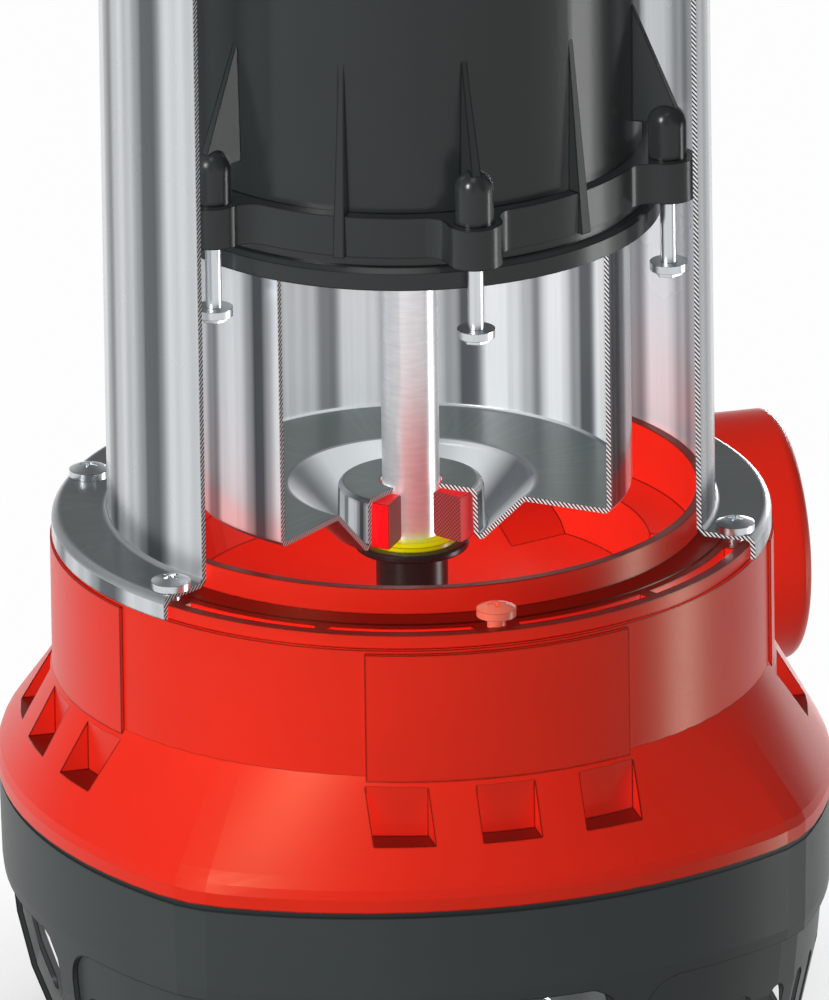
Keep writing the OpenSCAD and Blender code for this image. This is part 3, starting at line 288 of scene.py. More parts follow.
    def noise(self, vector: object, scale: object, detail: float) -> bpy.types.NodeSocket:
        """A smooth noise value, about 0.5 on average."""
        node = self.add("ShaderNodeTexNoise")
        self.feed(node.inputs["Vector"], vector)
        self.feed(node.inputs["Scale"], scale)
        node.inputs["Detail"].default_value = detail
        return node.outputs[0]


@dataclass(frozen=True)
class Socket:
    """One input or output of a node group."""

    name: str
    value: float | None = None
    kind: str = "NodeSocketFloat"


class EffectGroup:
    """A shader effect that several materials use, built once as a node group."""

    title = "effect"
    inputs: tuple[Socket, ...] = ()
    outputs: tuple[Socket, ...] = ()

    def tree(self) -> bpy.types.NodeTree:
        """The group's node tree, built on first use.

        Returns:
            The shader node group.
        """
        made = bpy.data.node_groups.get(self.title)
        if made is not None:
            return made
        made = bpy.data.node_groups.new(self.title, "ShaderNodeTree")
        for socket in self.inputs:
            item = made.interface.new_socket(socket.name, in_out="INPUT", socket_type=socket.kind)
            if socket.value is not None:
                item.default_value = socket.value
        for socket in self.outputs:
            made.interface.new_socket(socket.name, in_out="OUTPUT", socket_type=socket.kind)
        sheet = NodeSheet(made)
        source = sheet.add("NodeGroupInput")
        target = sheet.add("NodeGroupOutput")
        self.build(sheet, source, target)
        return made

    def build(self, sheet: NodeSheet, source: bpy.types.Node, target: bpy.types.Node) -> None:
        """Fills the tree between the group's input and output nodes."""
        raise NotImplementedError

    def place(self, sheet: NodeSheet, **values: object) -> bpy.types.Node:
        """Puts the group into a material.

        Args:
            sheet: The material's sheet.
            **values: Values or sockets by input name, with _ for a space.

        Returns:
            The group node.
        """
        node = sheet.add("ShaderNodeGroup", node_tree=self.tree())
        for name, value in values.items():
            sheet.feed(node.inputs[name.replace("_", " ")], value)
        return node


class MouldGrain(EffectGroup):
    """Fine grain of moulded plastic, with a faint cloudiness of the colour."""

    title = "mould grain"
    inputs = (Socket("Grain Scale", 2600.0), Socket("Cloud Scale", 28.0))
    outputs = (Socket("Grain"), Socket("Cloud"))
    grain_detail = 1.0
    cloud_detail = 3.0

    def build(self, sheet: NodeSheet, source: bpy.types.Node, target: bpy.types.Node) -> None:
        """Two noises, one fine and one broad."""
        spot = sheet.object_point()
        grain = sheet.noise(spot, source.outputs["Grain Scale"], self.grain_detail)
        cloud = sheet.noise(spot, source.outputs["Cloud Scale"], self.cloud_detail)
        sheet.feed(target.inputs["Grain"], grain)
        sheet.feed(target.inputs["Cloud"], cloud)


class EdgeMask(EffectGroup):
    """A mask along the sharp edges of a piece."""

    title = "edge mask"
    inputs = (Socket("Width", 0.4 * MM),)
    outputs = (Socket("Edge"),)
    samples = 6
    turn_range = (0.02, 0.07)

    def build(self, sheet: NodeSheet, source: bpy.types.Node, target: bpy.types.Node) -> None:
        """Compares the rounded normal with the true one."""
        bevel = sheet.add("ShaderNodeBevel", samples=self.samples)
        sheet.feed(bevel.inputs["Radius"], source.outputs["Width"])
        turned = sheet.minus(1.0, sheet.dot(bevel.outputs[0], sheet.normal()))
        sheet.feed(target.inputs["Edge"], sheet.ramp(turned, *self.turn_range))


class SectionFace(EffectGroup):
    """The flat faces of a cut-away window, as a mask and as a flat position on the cut."""

    title = "section face"
    inputs = (Socket("Half Angle", 57.5), Socket("Depth", 0.05 * MM))
    outputs = (Socket("Cut"), Socket("Reach"), Socket("Height"))

    def build(self, sheet: NodeSheet, source: bpy.types.Node, target: bpy.types.Node) -> None:
        """Measures the distance from the two cut planes, which mirror each other."""
        x, y, z = sheet.axes(sheet.object_point())
        side = sheet.math("ABSOLUTE", x)
        turn = sheet.math("RADIANS", source.outputs["Half Angle"])
        cosine = sheet.math("COSINE", turn)
        sine = sheet.math("SINE", turn)
        off = sheet.plus(sheet.times(side, cosine), sheet.times(y, sine))
        near = sheet.math("LESS_THAN", sheet.math("ABSOLUTE", off), source.outputs["Depth"])
        reach = sheet.minus(sheet.times(side, sine), sheet.times(y, cosine))
        front = sheet.math("GREATER_THAN", reach, 0.0)
        sheet.feed(target.inputs["Cut"], sheet.times(near, front))
        sheet.feed(target.inputs["Reach"], reach)
        sheet.feed(target.inputs["Height"], z)


class Hatch(EffectGroup):
    """Slanted hatching on a flat cut, light on dark."""

    title = "hatch"
    inputs = (
        Socket("Reach"), Socket("Height"), Socket("Pitch", 1.2 * MM), Socket("Share", 0.5),
        Socket("Slant", 1.0),
    )
    outputs = (Socket("Line"),)
    spare_lines = 1000.0

    def build(self, sheet: NodeSheet, source: bpy.types.Node, target: bpy.types.Node) -> None:
        """A square wave across the slanted direction, counted from far outside the pump."""
        slanted = sheet.times(source.outputs["Reach"], source.outputs["Slant"])
        along = sheet.plus(slanted, source.outputs["Height"])
        turns = sheet.math("DIVIDE", along, source.outputs["Pitch"])
        phase = sheet.math("FRACT", sheet.plus(turns, self.spare_lines))
        sheet.feed(target.inputs["Line"], sheet.math("LESS_THAN", phase, source.outputs["Share"]))


class PaintedReflectionBands(EffectGroup):
    """Painted reflection: upright light and dark bands round the steel, and masks of the faces that point up
    and in.
    """

    title = "painted reflection bands"
    inputs = (Socket("Phase", 0.0),)
    outputs = (Socket("Band"), Socket("Level"), Socket("Inside"))
    waves = ((7.0, 0.14), (19.0, 0.3), (37.0, 0.1), (83.0, 0.05))
    slope_waves = ((2.0, 0.25), (5.0, 0.2))
    slope_range = (0.15, 0.3)
    band_range = (0.15, 0.75)
    level_range = (0.86, 0.97)

    def build(self, sheet: NodeSheet, source: bpy.types.Node, target: bpy.types.Node) -> None:
        """Painted reflection bands from waves round the axis, and masks from the direction of the face."""
        x, y, _ = sheet.axes(sheet.object_point())
        turned = sheet.plus(sheet.math("ARCTAN2", x, sheet.times(y, -1.0)), source.outputs["Phase"])
        normal = sheet.axes(sheet.normal())
        upright, slope = (self.summed(sheet, turned, waves) for waves in (self.waves, self.slope_waves))
        sloping = sheet.ramp(sheet.math("ABSOLUTE", normal[2]), *self.slope_range)
        total = sheet.plus(sheet.times(upright, sheet.minus(1.0, sloping)), sheet.times(slope, sloping))
        # The band paints reflection: 0 gives its dark stripes and 1 its light ones.
        sheet.feed(target.inputs["Band"], sheet.ramp(total, *self.band_range))
        # Level marks faces that point up, which get painted shade.
        sheet.feed(target.inputs["Level"], sheet.ramp(normal[2], *self.level_range))
        inward = sheet.plus(sheet.times(x, normal[0]), sheet.times(y, normal[1]))
        sheet.feed(target.inputs["Inside"], sheet.math("LESS_THAN", inward, 0.0))

    def summed(self, sheet: NodeSheet, angle: object, waves: tuple[tuple[float, float], ...]) -> object:
        """Waves of an angle added up around 0.5.

        Args:
            sheet: The group's sheet.
            angle: The angle's socket.
            waves: Each wave's rate and share.

        Returns:
            The sum's socket.
        """
        total: object = 0.5
        for rate, share in waves:
            total = sheet.plus(total, sheet.times(sheet.math("SINE", sheet.times(angle, rate)), share))
        return total


class ConeNormal(EffectGroup):
    """The smooth normal of the cone of the pump housing, whose plan has four bowed sides."""

    title = "cone normal"
    inputs = (
        Socket("Ring Radius", 93.1 * MM), Socket("Corner Radius", 115.2 * MM),
        Socket("Curve Radius", 144 * MM), Socket("Offset", 36.3 * MM),
        Socket("Top", 115.5 * MM), Socket("Rise", 26.8 * MM), Socket("Lip", 92.6 * MM),
    )
    outputs = (Socket("Normal", kind="NodeSocketVector"),)
    least_agreement = 0.975
    least_square = 0.0001

    def build(self, sheet: NodeSheet, source: bpy.types.Node, target: bpy.types.Node) -> None:
        """Takes the gradient of the radius that blends from the ring wall to the plan."""
        given = source.outputs
        x, y, z = sheet.axes(sheet.object_point())
        radius = sheet.math("SQRT", sheet.plus(sheet.times(x, x), sheet.times(y, y)))
        quarter = math.pi / 2
        turned = sheet.plus(sheet.math("ARCTAN2", y, x), quarter / 2)
        folded = sheet.minus(sheet.math("FLOORED_MODULO", turned, quarter), quarter / 2)
        sine = sheet.times(sheet.math("SINE", folded), given["Offset"])
        cosine = sheet.times(sheet.math("COSINE", folded), given["Offset"])
        curve = given["Curve Radius"]
        root = sheet.math("SQRT", sheet.minus(sheet.times(curve, curve), sheet.times(sine, sine)))
        side = sheet.minus(root, cosine)
        plan = sheet.math("MINIMUM", side, given["Corner Radius"])
        on_side = sheet.math("LESS_THAN", side, given["Corner Radius"])
        change = sheet.times(sine, sheet.minus(1.0, sheet.math("DIVIDE", cosine, root)))
        share = sheet.math("DIVIDE", sheet.minus(given["Top"], z), given["Rise"], clamp=True)
        turn = sheet.math("DIVIDE", sheet.times(sheet.times(change, on_side), share), radius)
        rise = sheet.math("DIVIDE", sheet.minus(plan, given["Ring Radius"]), given["Rise"])
        east = sheet.math("DIVIDE", sheet.plus(x, sheet.times(turn, y)), radius)
        north = sheet.math("DIVIDE", sheet.minus(y, sheet.times(turn, x)), radius)
        true = sheet.normal()
        tall = sheet.axes(true)[2]
        level_square = sheet.minus(1.0, sheet.times(tall, tall))
        flat = sheet.math("SQRT", sheet.math("MAXIMUM", level_square, self.least_square))
        upper = sheet.math("GREATER_THAN", z, given["Lip"])
        own_rise = sheet.times(sheet.math("DIVIDE", tall, flat), sheet.minus(1.0, upper))
        smooth = sheet.add("ShaderNodeVectorMath", operation="NORMALIZE")
        sheet.feed(smooth.inputs[0], sheet.point(east, north, sheet.plus(sheet.times(rise, upper), own_rise)))
        near = sheet.math("GREATER_THAN", sheet.dot(smooth.outputs[0], true), self.least_agreement)
        below = sheet.math("LESS_THAN", z, given["Top"])
        chosen = sheet.mix(sheet.times(near, below), true, smooth.outputs[0], kind=Mixed.VECTOR)
        sheet.feed(target.inputs["Normal"], chosen)


class Brushing(EffectGroup):
    """Fine streaks of brushed or drawn steel, along the height or round the axis."""

    title = "brushing"
    inputs = (Socket("Along", 1.0), Socket("Fineness", 900.0))
    outputs = (Socket("Streak"), Socket("Patch"))
    stretch = 0.02
    unrolled_radius = 80 * MM
    detail = 3.0
    patch_scale = 24.0

    def build(self, sheet: NodeSheet, source: bpy.types.Node, target: bpy.types.Node) -> None:
        """Noise that is stretched along one direction."""
        x, y, z = sheet.axes(sheet.object_point())
        around = sheet.times(sheet.math("ARCTAN2", y, x), self.unrolled_radius)
        along = source.outputs["Along"]
        squeezed = sheet.times(around, sheet.ramp(along, 0.0, 1.0, self.stretch, 1.0))
        stretched = sheet.times(z, sheet.ramp(along, 0.0, 1.0, 1.0, self.stretch))
        spot = sheet.point(squeezed, stretched, 0.0)
        sheet.feed(target.inputs["Streak"], sheet.noise(spot, source.outputs["Fineness"], self.detail))
        patch = sheet.noise(sheet.object_point(), self.patch_scale, self.detail)
        sheet.feed(target.inputs["Patch"], patch)


GRAIN = MouldGrain()
EDGE = EdgeMask()
SECTION = SectionFace()
HATCH = Hatch()
BRUSH = Brushing()
REFLECTION_BANDS = PaintedReflectionBands()
CONE = ConeNormal()


# Finishes


@dataclass(frozen=True)
class Finish:
    """What every finish has: a name, a colour and a line along its edges."""

    name: str
    colour: Colour
    line: Colour = BLACK
    line_width: float = 0.6 * MM
    line_share: float = 0.95
    roughness: float = 0.4
    specular: float = 0.3

    def material(self) -> bpy.types.Material:
        """The material, built on first use.

        Returns:
            The Blender material.
        """
        made = bpy.data.materials.get(self.name)
        if made is not None:
            return made
        made = bpy.data.materials.new(self.name)
        made.use_nodes = True
        sheet = NodeSheet(made.node_tree)
        shader = sheet.add("ShaderNodeBsdfPrincipled")
        output = sheet.add("ShaderNodeOutputMaterial")
        sheet.feed(output.inputs["Surface"], shader.outputs[0])
        self.build(sheet, shader)
        made.diffuse_color = self.colour
        return made

    def build(self, sheet: NodeSheet, shader: bpy.types.Node) -> None:
        """Fills the material between its nodes and the shader."""
        raise NotImplementedError

    def lined(self, sheet: NodeSheet, colour: object) -> bpy.types.NodeSocket:
        """The colour with a dark line drawn along sharp edges.

        Args:
            sheet: The material's sheet.
            colour: The colour away from the edges.

        Returns:
            The colour socket.
        """
        edge = EDGE.place(sheet, Width=self.line_width).outputs["Edge"]
        return sheet.mix(sheet.times(edge, self.line_share), colour, self.line)


@dataclass(frozen=True)
class Moulded(Finish):
    """Moulded plastic with a fine grain, whose level faces can carry painted shade."""

    grain: float = 0.03
    grain_depth: float = 0.1 * MM
    grain_range: tuple[float, float] = (0.2, 0.8)
    rough_swing: float = 0.05
    cloud: float = 0.04
    ior: float = 1.5
    gloss_tint: Colour = WHITE
    # Painted shade: level faces outside the height gap take a darker colour.
    level_shade_share: float = 0.0
    level_shade_colour: Colour = DARK_GREY
    level_range: tuple[float, float] = (0.9, 0.98)
    level_gap: tuple[float, float] = (105 * MM, 151.5 * MM)
    smooth_cone: bool = False

    def build(self, sheet: NodeSheet, shader: bpy.types.Node) -> None:
        """Plastic with grain, cloudiness, edge lines and, where asked, painted shade on level faces."""
        grain = GRAIN.place(sheet)
        colour = sheet.tinted(self.colour, sheet.varied(grain.outputs["Cloud"], 1.0, self.cloud))
        # Painted shade on level faces, kept out of the height gap.
        if self.level_shade_share:
            colour = sheet.mix(self.level_shade_mask(sheet), colour, self.level_shade_colour)
        sheet.feed(shader.inputs["Base Color"], self.lined(sheet, colour))
        smoothest, roughest = self.roughness - self.rough_swing, self.roughness + self.rough_swing
        rough = sheet.ramp(grain.outputs["Grain"], *self.grain_range, smoothest, roughest)
        sheet.feed(shader.inputs["Roughness"], rough)
        bump = sheet.add("ShaderNodeBump")
        bump.inputs["Strength"].default_value = self.grain
        bump.inputs["Distance"].default_value = self.grain_depth
        sheet.feed(bump.inputs["Height"], grain.outputs["Grain"])
        if self.smooth_cone:
            sheet.feed(bump.inputs["Normal"], CONE.place(sheet).outputs["Normal"])
        sheet.feed(shader.inputs["Normal"], bump.outputs[0])
        shader.inputs["Specular IOR Level"].default_value = self.specular
        shader.inputs["IOR"].default_value = self.ior
        shader.inputs["Specular Tint"].default_value = self.gloss_tint

    def level_shade_mask(self, sheet: NodeSheet) -> bpy.types.NodeSocket:
        """How far the painted shade covers a face: level ones outside the gap in height.

        Args:
            sheet: The material's sheet.

        Returns:
            The mask's socket.
        """
        tall = sheet.axes(sheet.normal())[2]
        height = sheet.axes(sheet.object_point())[2]
        low, high = self.level_gap
        above = sheet.math("GREATER_THAN", height, low)
        within = sheet.times(above, sheet.math("LESS_THAN", height, high))
        level = sheet.ramp(tall, *self.level_range, 0.0, self.level_shade_share)
        return sheet.times(level, sheet.minus(1.0, within))


@dataclass(frozen=True)
class Metal(Finish):
    """Turned, ground or cast metal with fine streaks."""

    stroke: Stroke = Stroke.UPRIGHT
    fineness: float = 900.0
    streak: float = 0.06
    rough_swing: float = 0.03
    metallic: float = 1.0

    def build(self, sheet: NodeSheet, shader: bpy.types.Node) -> None:
        """Metal with streaks and edge lines."""
        brush = BRUSH.place(sheet, Along=self.stroke.value, Fineness=self.fineness)
        shade = sheet.varied(brush.outputs["Streak"], 1.0, self.streak)
        sheet.feed(shader.inputs["Base Color"], self.lined(sheet, sheet.tinted(self.colour, shade)))
        rough = sheet.varied(brush.outputs["Patch"], self.roughness, self.rough_swing)
        sheet.feed(shader.inputs["Roughness"], rough)
        shader.inputs["Metallic"].default_value = self.metallic


@dataclass(frozen=True)
class CutSteel(Finish):
    """Drawn steel with painted reflection bands upright round it, painted shade on level faces and hatching
    where it is cut away.
    """

    half_angle: float = 57.5
    # dark is the colour of the painted reflection's dark stripes.
    dark: Colour = DARK_GREY
    phase: float = 0.0
    streak: float = 0.03
    rough_swing: float = 0.02
    # The colour of the painted shade on faces that point up.
    level_shade_colour: Colour = DARK_GREY
    metallic: float = 0.6
    inside_share: float = 0.1
    level_metal: float = 0.15
    cut_roughness: float = 0.7
    hatch_pitch: float = 1.25 * MM
    hatch_share: float = 0.5
    hatch_dark: Colour = (0.005, 0.006, 0.006, 1.0)
    hatch_light: Colour = (0.75, 0.78, 0.79, 1.0)

    def build(self, sheet: NodeSheet, shader: bpy.types.Node) -> None:
        """Steel with painted reflection bands and painted shade, whose cut faces show the hatch of a section
        drawing.
        """
        bands = REFLECTION_BANDS.place(sheet, Phase=self.phase)
        brush = BRUSH.place(sheet)
        shade = sheet.varied(brush.outputs["Streak"], 1.0, self.streak)
        # Painted reflection: the colour runs between the dark and the light of the bands.
        colour = sheet.tinted(sheet.mix(bands.outputs["Band"], self.dark, self.colour), shade)
        level = bands.outputs["Level"]
        # Painted shade: faces that point up take the darker level colour.
        colour = self.lined(sheet, sheet.mix(level, colour, self.level_shade_colour))
        cut = SECTION.place(sheet, Half_Angle=self.half_angle)
        line = HATCH.place(sheet, Reach=cut.outputs["Reach"], Height=cut.outputs["Height"],
                           Pitch=self.hatch_pitch, Share=self.hatch_share)
        drawn = sheet.mix(line.outputs["Line"], self.hatch_dark, self.hatch_light)
        sheet.feed(shader.inputs["Base Color"], sheet.mix(cut.outputs["Cut"], colour, drawn))
        inside = sheet.ramp(bands.outputs["Inside"], 0.0, 1.0, 1.0, self.inside_share)
        flat = sheet.ramp(level, 0.0, 1.0, 1.0, self.level_metal)
        whole = sheet.minus(1.0, cut.outputs["Cut"])
        metal = sheet.times(sheet.times(inside, flat), sheet.times(whole, self.metallic))
        sheet.feed(shader.inputs["Metallic"], metal)
        rough = sheet.varied(brush.outputs["Patch"], self.roughness, self.rough_swing)
        cut_rough = sheet.times(cut.outputs["Cut"], self.cut_roughness)
        sheet.feed(shader.inputs["Roughness"], sheet.math("MAXIMUM", rough, cut_rough))
        shader.inputs["Specular IOR Level"].default_value = self.specular


@dataclass(frozen=True)
class Rubber(Finish):
    """Matt rubber, with a woven hatch where it is cut away."""

    grain_scale: float = 1500.0
    cloud: float = 0.08
    half_angle: float | None = None
    weave_dark: Colour = (0.14, 0.006, 0.008, 1.0)
    weave_light: Colour = (0.34, 0.07, 0.073, 1.0)
    weave_pitch: float = 1.1 * MM
    weave_share: float = 0.3

    def build(self, sheet: NodeSheet, shader: bpy.types.Node) -> None:
        """Rubber with a soft grain and the weave of its cut."""
        grain = GRAIN.place(sheet, Grain_Scale=self.grain_scale)
        shade = sheet.varied(grain.outputs["Cloud"], 1.0, self.cloud)
        colour = self.lined(sheet, sheet.tinted(self.colour, shade))
        if self.half_angle is not None:
            colour = self.woven(sheet, colour, self.half_angle)
        sheet.feed(shader.inputs["Base Color"], colour)
        shader.inputs["Roughness"].default_value = self.roughness
        shader.inputs["Specular IOR Level"].default_value = self.specular

    def woven(self, sheet: NodeSheet, colour: object, half_angle: float) -> bpy.types.NodeSocket:
        """The colour with a crossed hatch on the cut faces.

        Args:
            sheet: The material's sheet.
            colour: The colour away from the cut.
            half_angle: Half the angle of the cut-away window.

        Returns:
            The colour socket.
        """
        cut = SECTION.place(sheet, Half_Angle=half_angle)
        lines = []
        for slant in (1.0, -1.0):
            hatch = HATCH.place(sheet, Reach=cut.outputs["Reach"], Height=cut.outputs["Height"],
                                Pitch=self.weave_pitch, Share=self.weave_share, Slant=slant)
            lines.append(hatch.outputs["Line"])
        drawn = sheet.mix(sheet.math("MAXIMUM", *lines), self.weave_dark, self.weave_light)
        return sheet.mix(cut.outputs["Cut"], colour, drawn)


# The red's level colour is painted shade on faces that point up.
RED = Moulded("housing red", srgb(222, 40, 26), line=srgb(34, 2, 2), line_width=0.8 * MM,
              roughness=0.34, specular=0.6, ior=1.3, gloss_tint=(1.0, 0.72, 0.4, 1.0),
              level_shade_share=0.92, level_shade_colour=srgb(84, 6, 3), smooth_cone=True)
BASE = Moulded("base grey", srgb(60, 65, 65), line=srgb(8, 9, 9), line_width=0.8 * MM,
               roughness=0.42, ior=1.3)
MOTOR = Moulded("motor black", srgb(42, 46, 46), line=srgb(2, 2, 2), line_width=0.9 * MM,
                roughness=0.22, specular=0.5, ior=1.36)
COVER = Moulded("cover black", srgb(48, 52, 53), line=srgb(8, 8, 8), roughness=0.4, specular=0.25)
IMPELLER_GREY = Moulded("impeller grey", srgb(84, 88, 90), line=srgb(20, 22, 23))
CUP = Moulded("cup black", srgb(30, 33, 33), line=srgb(4, 4, 4), roughness=0.3)
YELLOW = Moulded("face yellow", srgb(216, 216, 0), line=srgb(90, 90, 0), roughness=0.3)
TINTED = Moulded("tinted screw", srgb(236, 112, 88), line=srgb(130, 24, 16), line_width=0.3 * MM,
                 roughness=0.35)
COPPER = Moulded("varnished copper", srgb(150, 78, 38), line=srgb(60, 26, 10), roughness=0.3, grain=0.2,
                 cloud=0.25)
LACING = Rubber("lacing cord", srgb(226, 218, 196), line_share=0.3, roughness=0.7)
LEAD = Rubber("lead insulation", srgb(28, 30, 32), line_share=0.2, roughness=0.5)
GASKET = Rubber("gasket rubber", srgb(24, 34, 34), roughness=0.62)
SEAL = Rubber("seal red", srgb(240, 4, 16), line=srgb(50, 2, 4), roughness=0.5, half_angle=35.0)
# Each steel's dark is the dark of its painted reflection bands, and its level colour is painted shade.
JACKET = CutSteel("jacket steel", srgb(206, 210, 213), line_width=0.7 * MM, roughness=0.27, half_angle=57.5,
                  dark=srgb(84, 88, 92), phase=0.18, level_shade_colour=srgb(84, 89, 90))
POT = CutSteel("pot steel", srgb(226, 230, 232), line_width=0.7 * MM, roughness=0.25, half_angle=50.0,
               dark=srgb(84, 88, 92), phase=0.6, level_shade_colour=srgb(98, 105, 104), metallic=0.5)
PLATE = Metal("plate steel", srgb(190, 196, 198), roughness=0.3, stroke=Stroke.ROUND)
SCREW = Metal("screw steel", srgb(206, 211, 214), roughness=0.3, line_width=0.3 * MM)
SHAFT_STEEL = Metal("shaft steel", srgb(226, 230, 232), roughness=0.32, stroke=Stroke.ROUND, metallic=0.6)
BEARING = Metal("bearing steel", srgb(210, 212, 214), roughness=0.12, stroke=Stroke.ROUND)
BRASS = Metal("cage brass", srgb(196, 160, 84), roughness=0.3, stroke=Stroke.ROUND)
STACK = Metal("stack steel", srgb(128, 132, 136), roughness=0.45, stroke=Stroke.ROUND, fineness=2600.0,
              streak=0.25)
ALUMINIUM = Metal("cast aluminium", srgb(186, 188, 190), roughness=0.42, streak=0.02)


# Meshes


def lofted(name: str, rows: list[list[Point]], closed: bool = False) -> bpy.types.Object:
    """A skin over rows of points, each row a loop with the same number of points.

    Args:
        name: The name of the object.
        rows: The loops, in order.
        closed: Whether the last row joins the first; otherwise both ends get caps.

    Returns:
        The smooth-shaded object, linked to the scene.
    """
    work = bmesh.new()
    loops = [[work.verts.new(spot) for spot in row] for row in rows]
    pairs = list(zip(loops, loops[1:])) + ([(loops[-1], loops[0])] if closed else [])
    for low, high in pairs:
        for place in range(len(low)):
            after = (place + 1) % len(low)
            work.faces.new((low[place], low[after], high[after], high[place]))
    if not closed:
        work.faces.new(loops[0])
        work.faces.new(loops[-1])
    bmesh.ops.recalc_face_normals(work, faces=work.faces)
    mesh = bpy.data.meshes.new(name)
    work.to_mesh(mesh)
    work.free()
    for face in mesh.polygons:
        face.use_smooth = True
    made = bpy.data.objects.new(name, mesh)
    bpy.context.collection.objects.link(made)
    return made


def tube_along(name: str, path: list[Vector], radius: float, sides: int,
               closed: bool = False) -> bpy.types.Object:
    """A round tube along a path.

    Args:
        name: The name of the object.
        path: The points that it follows.
        radius: The tube's radius.
        sides: Points round the tube.
        closed: Whether the path is a loop.

    Returns:
        The tube's object.
    """
    upright, depth, least_length = Vector((0.0, 0.0, 1.0)), Vector((0.0, 1.0, 0.0)), 0.1
    turns = [2 * math.pi * side / sides for side in range(sides)]
    rows = []
    count = len(path)
    for place, spot in enumerate(path):
        before = path[(place - 1) % count] if closed or place else spot
        after = path[(place + 1) % count] if closed or place < count - 1 else spot
        forward = (after - before).normalized()
        across = forward.cross(upright)
        if across.length < least_length:
            across = forward.cross(depth)
        across.normalize()
        upward = across.cross(forward)
        rows.append([
            tuple(spot + (across * math.cos(turn) + upward * math.sin(turn)) * radius) for turn in turns
        ])
    return lofted(name, rows, closed)


# Sub-assemblies


@dataclass
class SubAssembly:
    """A group of the pump's pieces that is made and dressed together."""

    nodes: dict[str, bpy.types.Object]

    def finishes(self) -> dict[str, Finish]:
        """The finish of each carried-over node of the group."""
        raise NotImplementedError

    def build(self) -> list[bpy.types.Object]:
        """Builds the group's new pieces, none unless a group says so."""
        return []

    def dress(self) -> None:
        """Puts its finish on each carried-over node."""
        for name, finish in self.finishes().items():
            piece = self.nodes.pop(name)
            material = finish.material()
            if not piece.material_slots:
                piece.data.materials.append(material)
            for slot in piece.material_slots:
                slot.material = material
            LOG.info("dressed %s in %s", name, finish.name)

    def seat(self, piece: bpy.types.Object, finish: Finish, body: Body, slot: Slot) -> bpy.types.Object:
        """Gives a new piece its finish and its body.

        Args:
            piece: The new piece.
            finish: What it is dressed in.
            body: The body that it rides on.
            slot: The record's material slot; not used.

        Returns:
            The same piece.
        """
        piece.data.materials.append(finish.material())
        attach(piece, body.value)
        LOG.info("built %s in %s", piece.name, finish.name)
        return piece


@dataclass
class IntakeBase(SubAssembly):
    """Strainer base with its steel plate, its gasket and the suction cover."""

    def finishes(self) -> dict[str, Finish]:
        """Dark plastic, bright plate, black rubber."""
        return {
            "strainer_base": BASE, "base_plate": PLATE, "base_plate_screws": SCREW, "base_gasket": GASKET,
            "base_screws": SCREW, "suction_cover": BASE, "suction_cover_screws": SCREW,
        }


@dataclass
class PumpEnd(SubAssembly):
    """Red volute housing with its impeller and the thread of its outlet."""

    axis_y: float = 54 * MM
    axis_z: float = 116.8 * MM
    socket_radius: float = 28.3 * MM
    thread_depth: float = 1.1 * MM
    thread_pitch: float = 2.309 * MM
    thread_start: float = 91.5 * MM
    thread_end: float = 112.2 * MM
    run_out_share: float = 1 / 12
    foot_share: float = 0.94
    crest_share: float = 0.14
    steps_per_turn: int = 64

    def finishes(self) -> dict[str, Finish]:
        """Red housing, grey impeller."""
        return {
            "pump_housing": RED, "impeller": IMPELLER_GREY, "impeller_washer": SCREW, "impeller_nut": SCREW,
        }

    def build(self) -> list[bpy.types.Object]:
        """Cuts the pipe thread of the outlet, a ridge that runs out at both ends."""
        turns = (self.thread_end - self.thread_start) / self.thread_pitch
        count = int(turns * self.steps_per_turn)
        rows = []
        for step in range(count + 1):
            share = step / count
            angle = 2 * math.pi * turns * share
            along = self.thread_start + (self.thread_end - self.thread_start) * share
            fade = min(1.0, share / self.run_out_share, (1 - share) / self.run_out_share)
            bore, crest = self.socket_radius, self.socket_radius - self.thread_depth * fade
            foot = self.thread_pitch / 2 * self.foot_share
            top = foot * self.crest_share
            sine, cosine = math.sin(angle), math.cos(angle)
            rows.append([
                (along + shift, self.axis_y + radius * cosine, self.axis_z + radius * sine)
                for radius, shift in ((bore, -foot), (crest, -top), (crest, top), (bore, foot))
            ])
        return [self.seat(lofted("outlet_thread", rows), RED, Body.HOUSING, Slot.HOUSING_RED)]


@dataclass
class ShaftSeals(SubAssembly):
    """Shaft with its bearings, the cut-away lip seal and the face seal under it."""

    def finishes(self) -> dict[str, Finish]:
        """Ground steel, red and black rubber, a yellow face ring."""
        return {
            "shaft": SHAFT_STEEL, "seal_cup": CUP, "seal_face_ring": YELLOW, "shaft_seal": SEAL,
            "motor_seal": GASKET,
            "lower_bearing_outer": BEARING, "lower_bearing_inner": BEARING, "lower_bearing_balls": BEARING,
            "lower_bearing_cage": BRASS, "upper_bearing_outer": BEARING, "upper_bearing_inner": BEARING,
            "upper_bearing_balls": BEARING, "upper_bearing_cage": BRASS,
        }


@dataclass
class JacketAndPot(SubAssembly):
    """Cut-away motor jacket and oil chamber with the flange screws."""

    def finishes(self) -> dict[str, Finish]:
        """Drawn steel with hatched cuts, one screw tinted because its flange is cut away."""
        return {
            "motor_jacket": JACKET, "oil_chamber": POT, "jacket_seal": GASKET, "flange_screws": SCREW,
            "front_flange_screw": TINTED,
        }


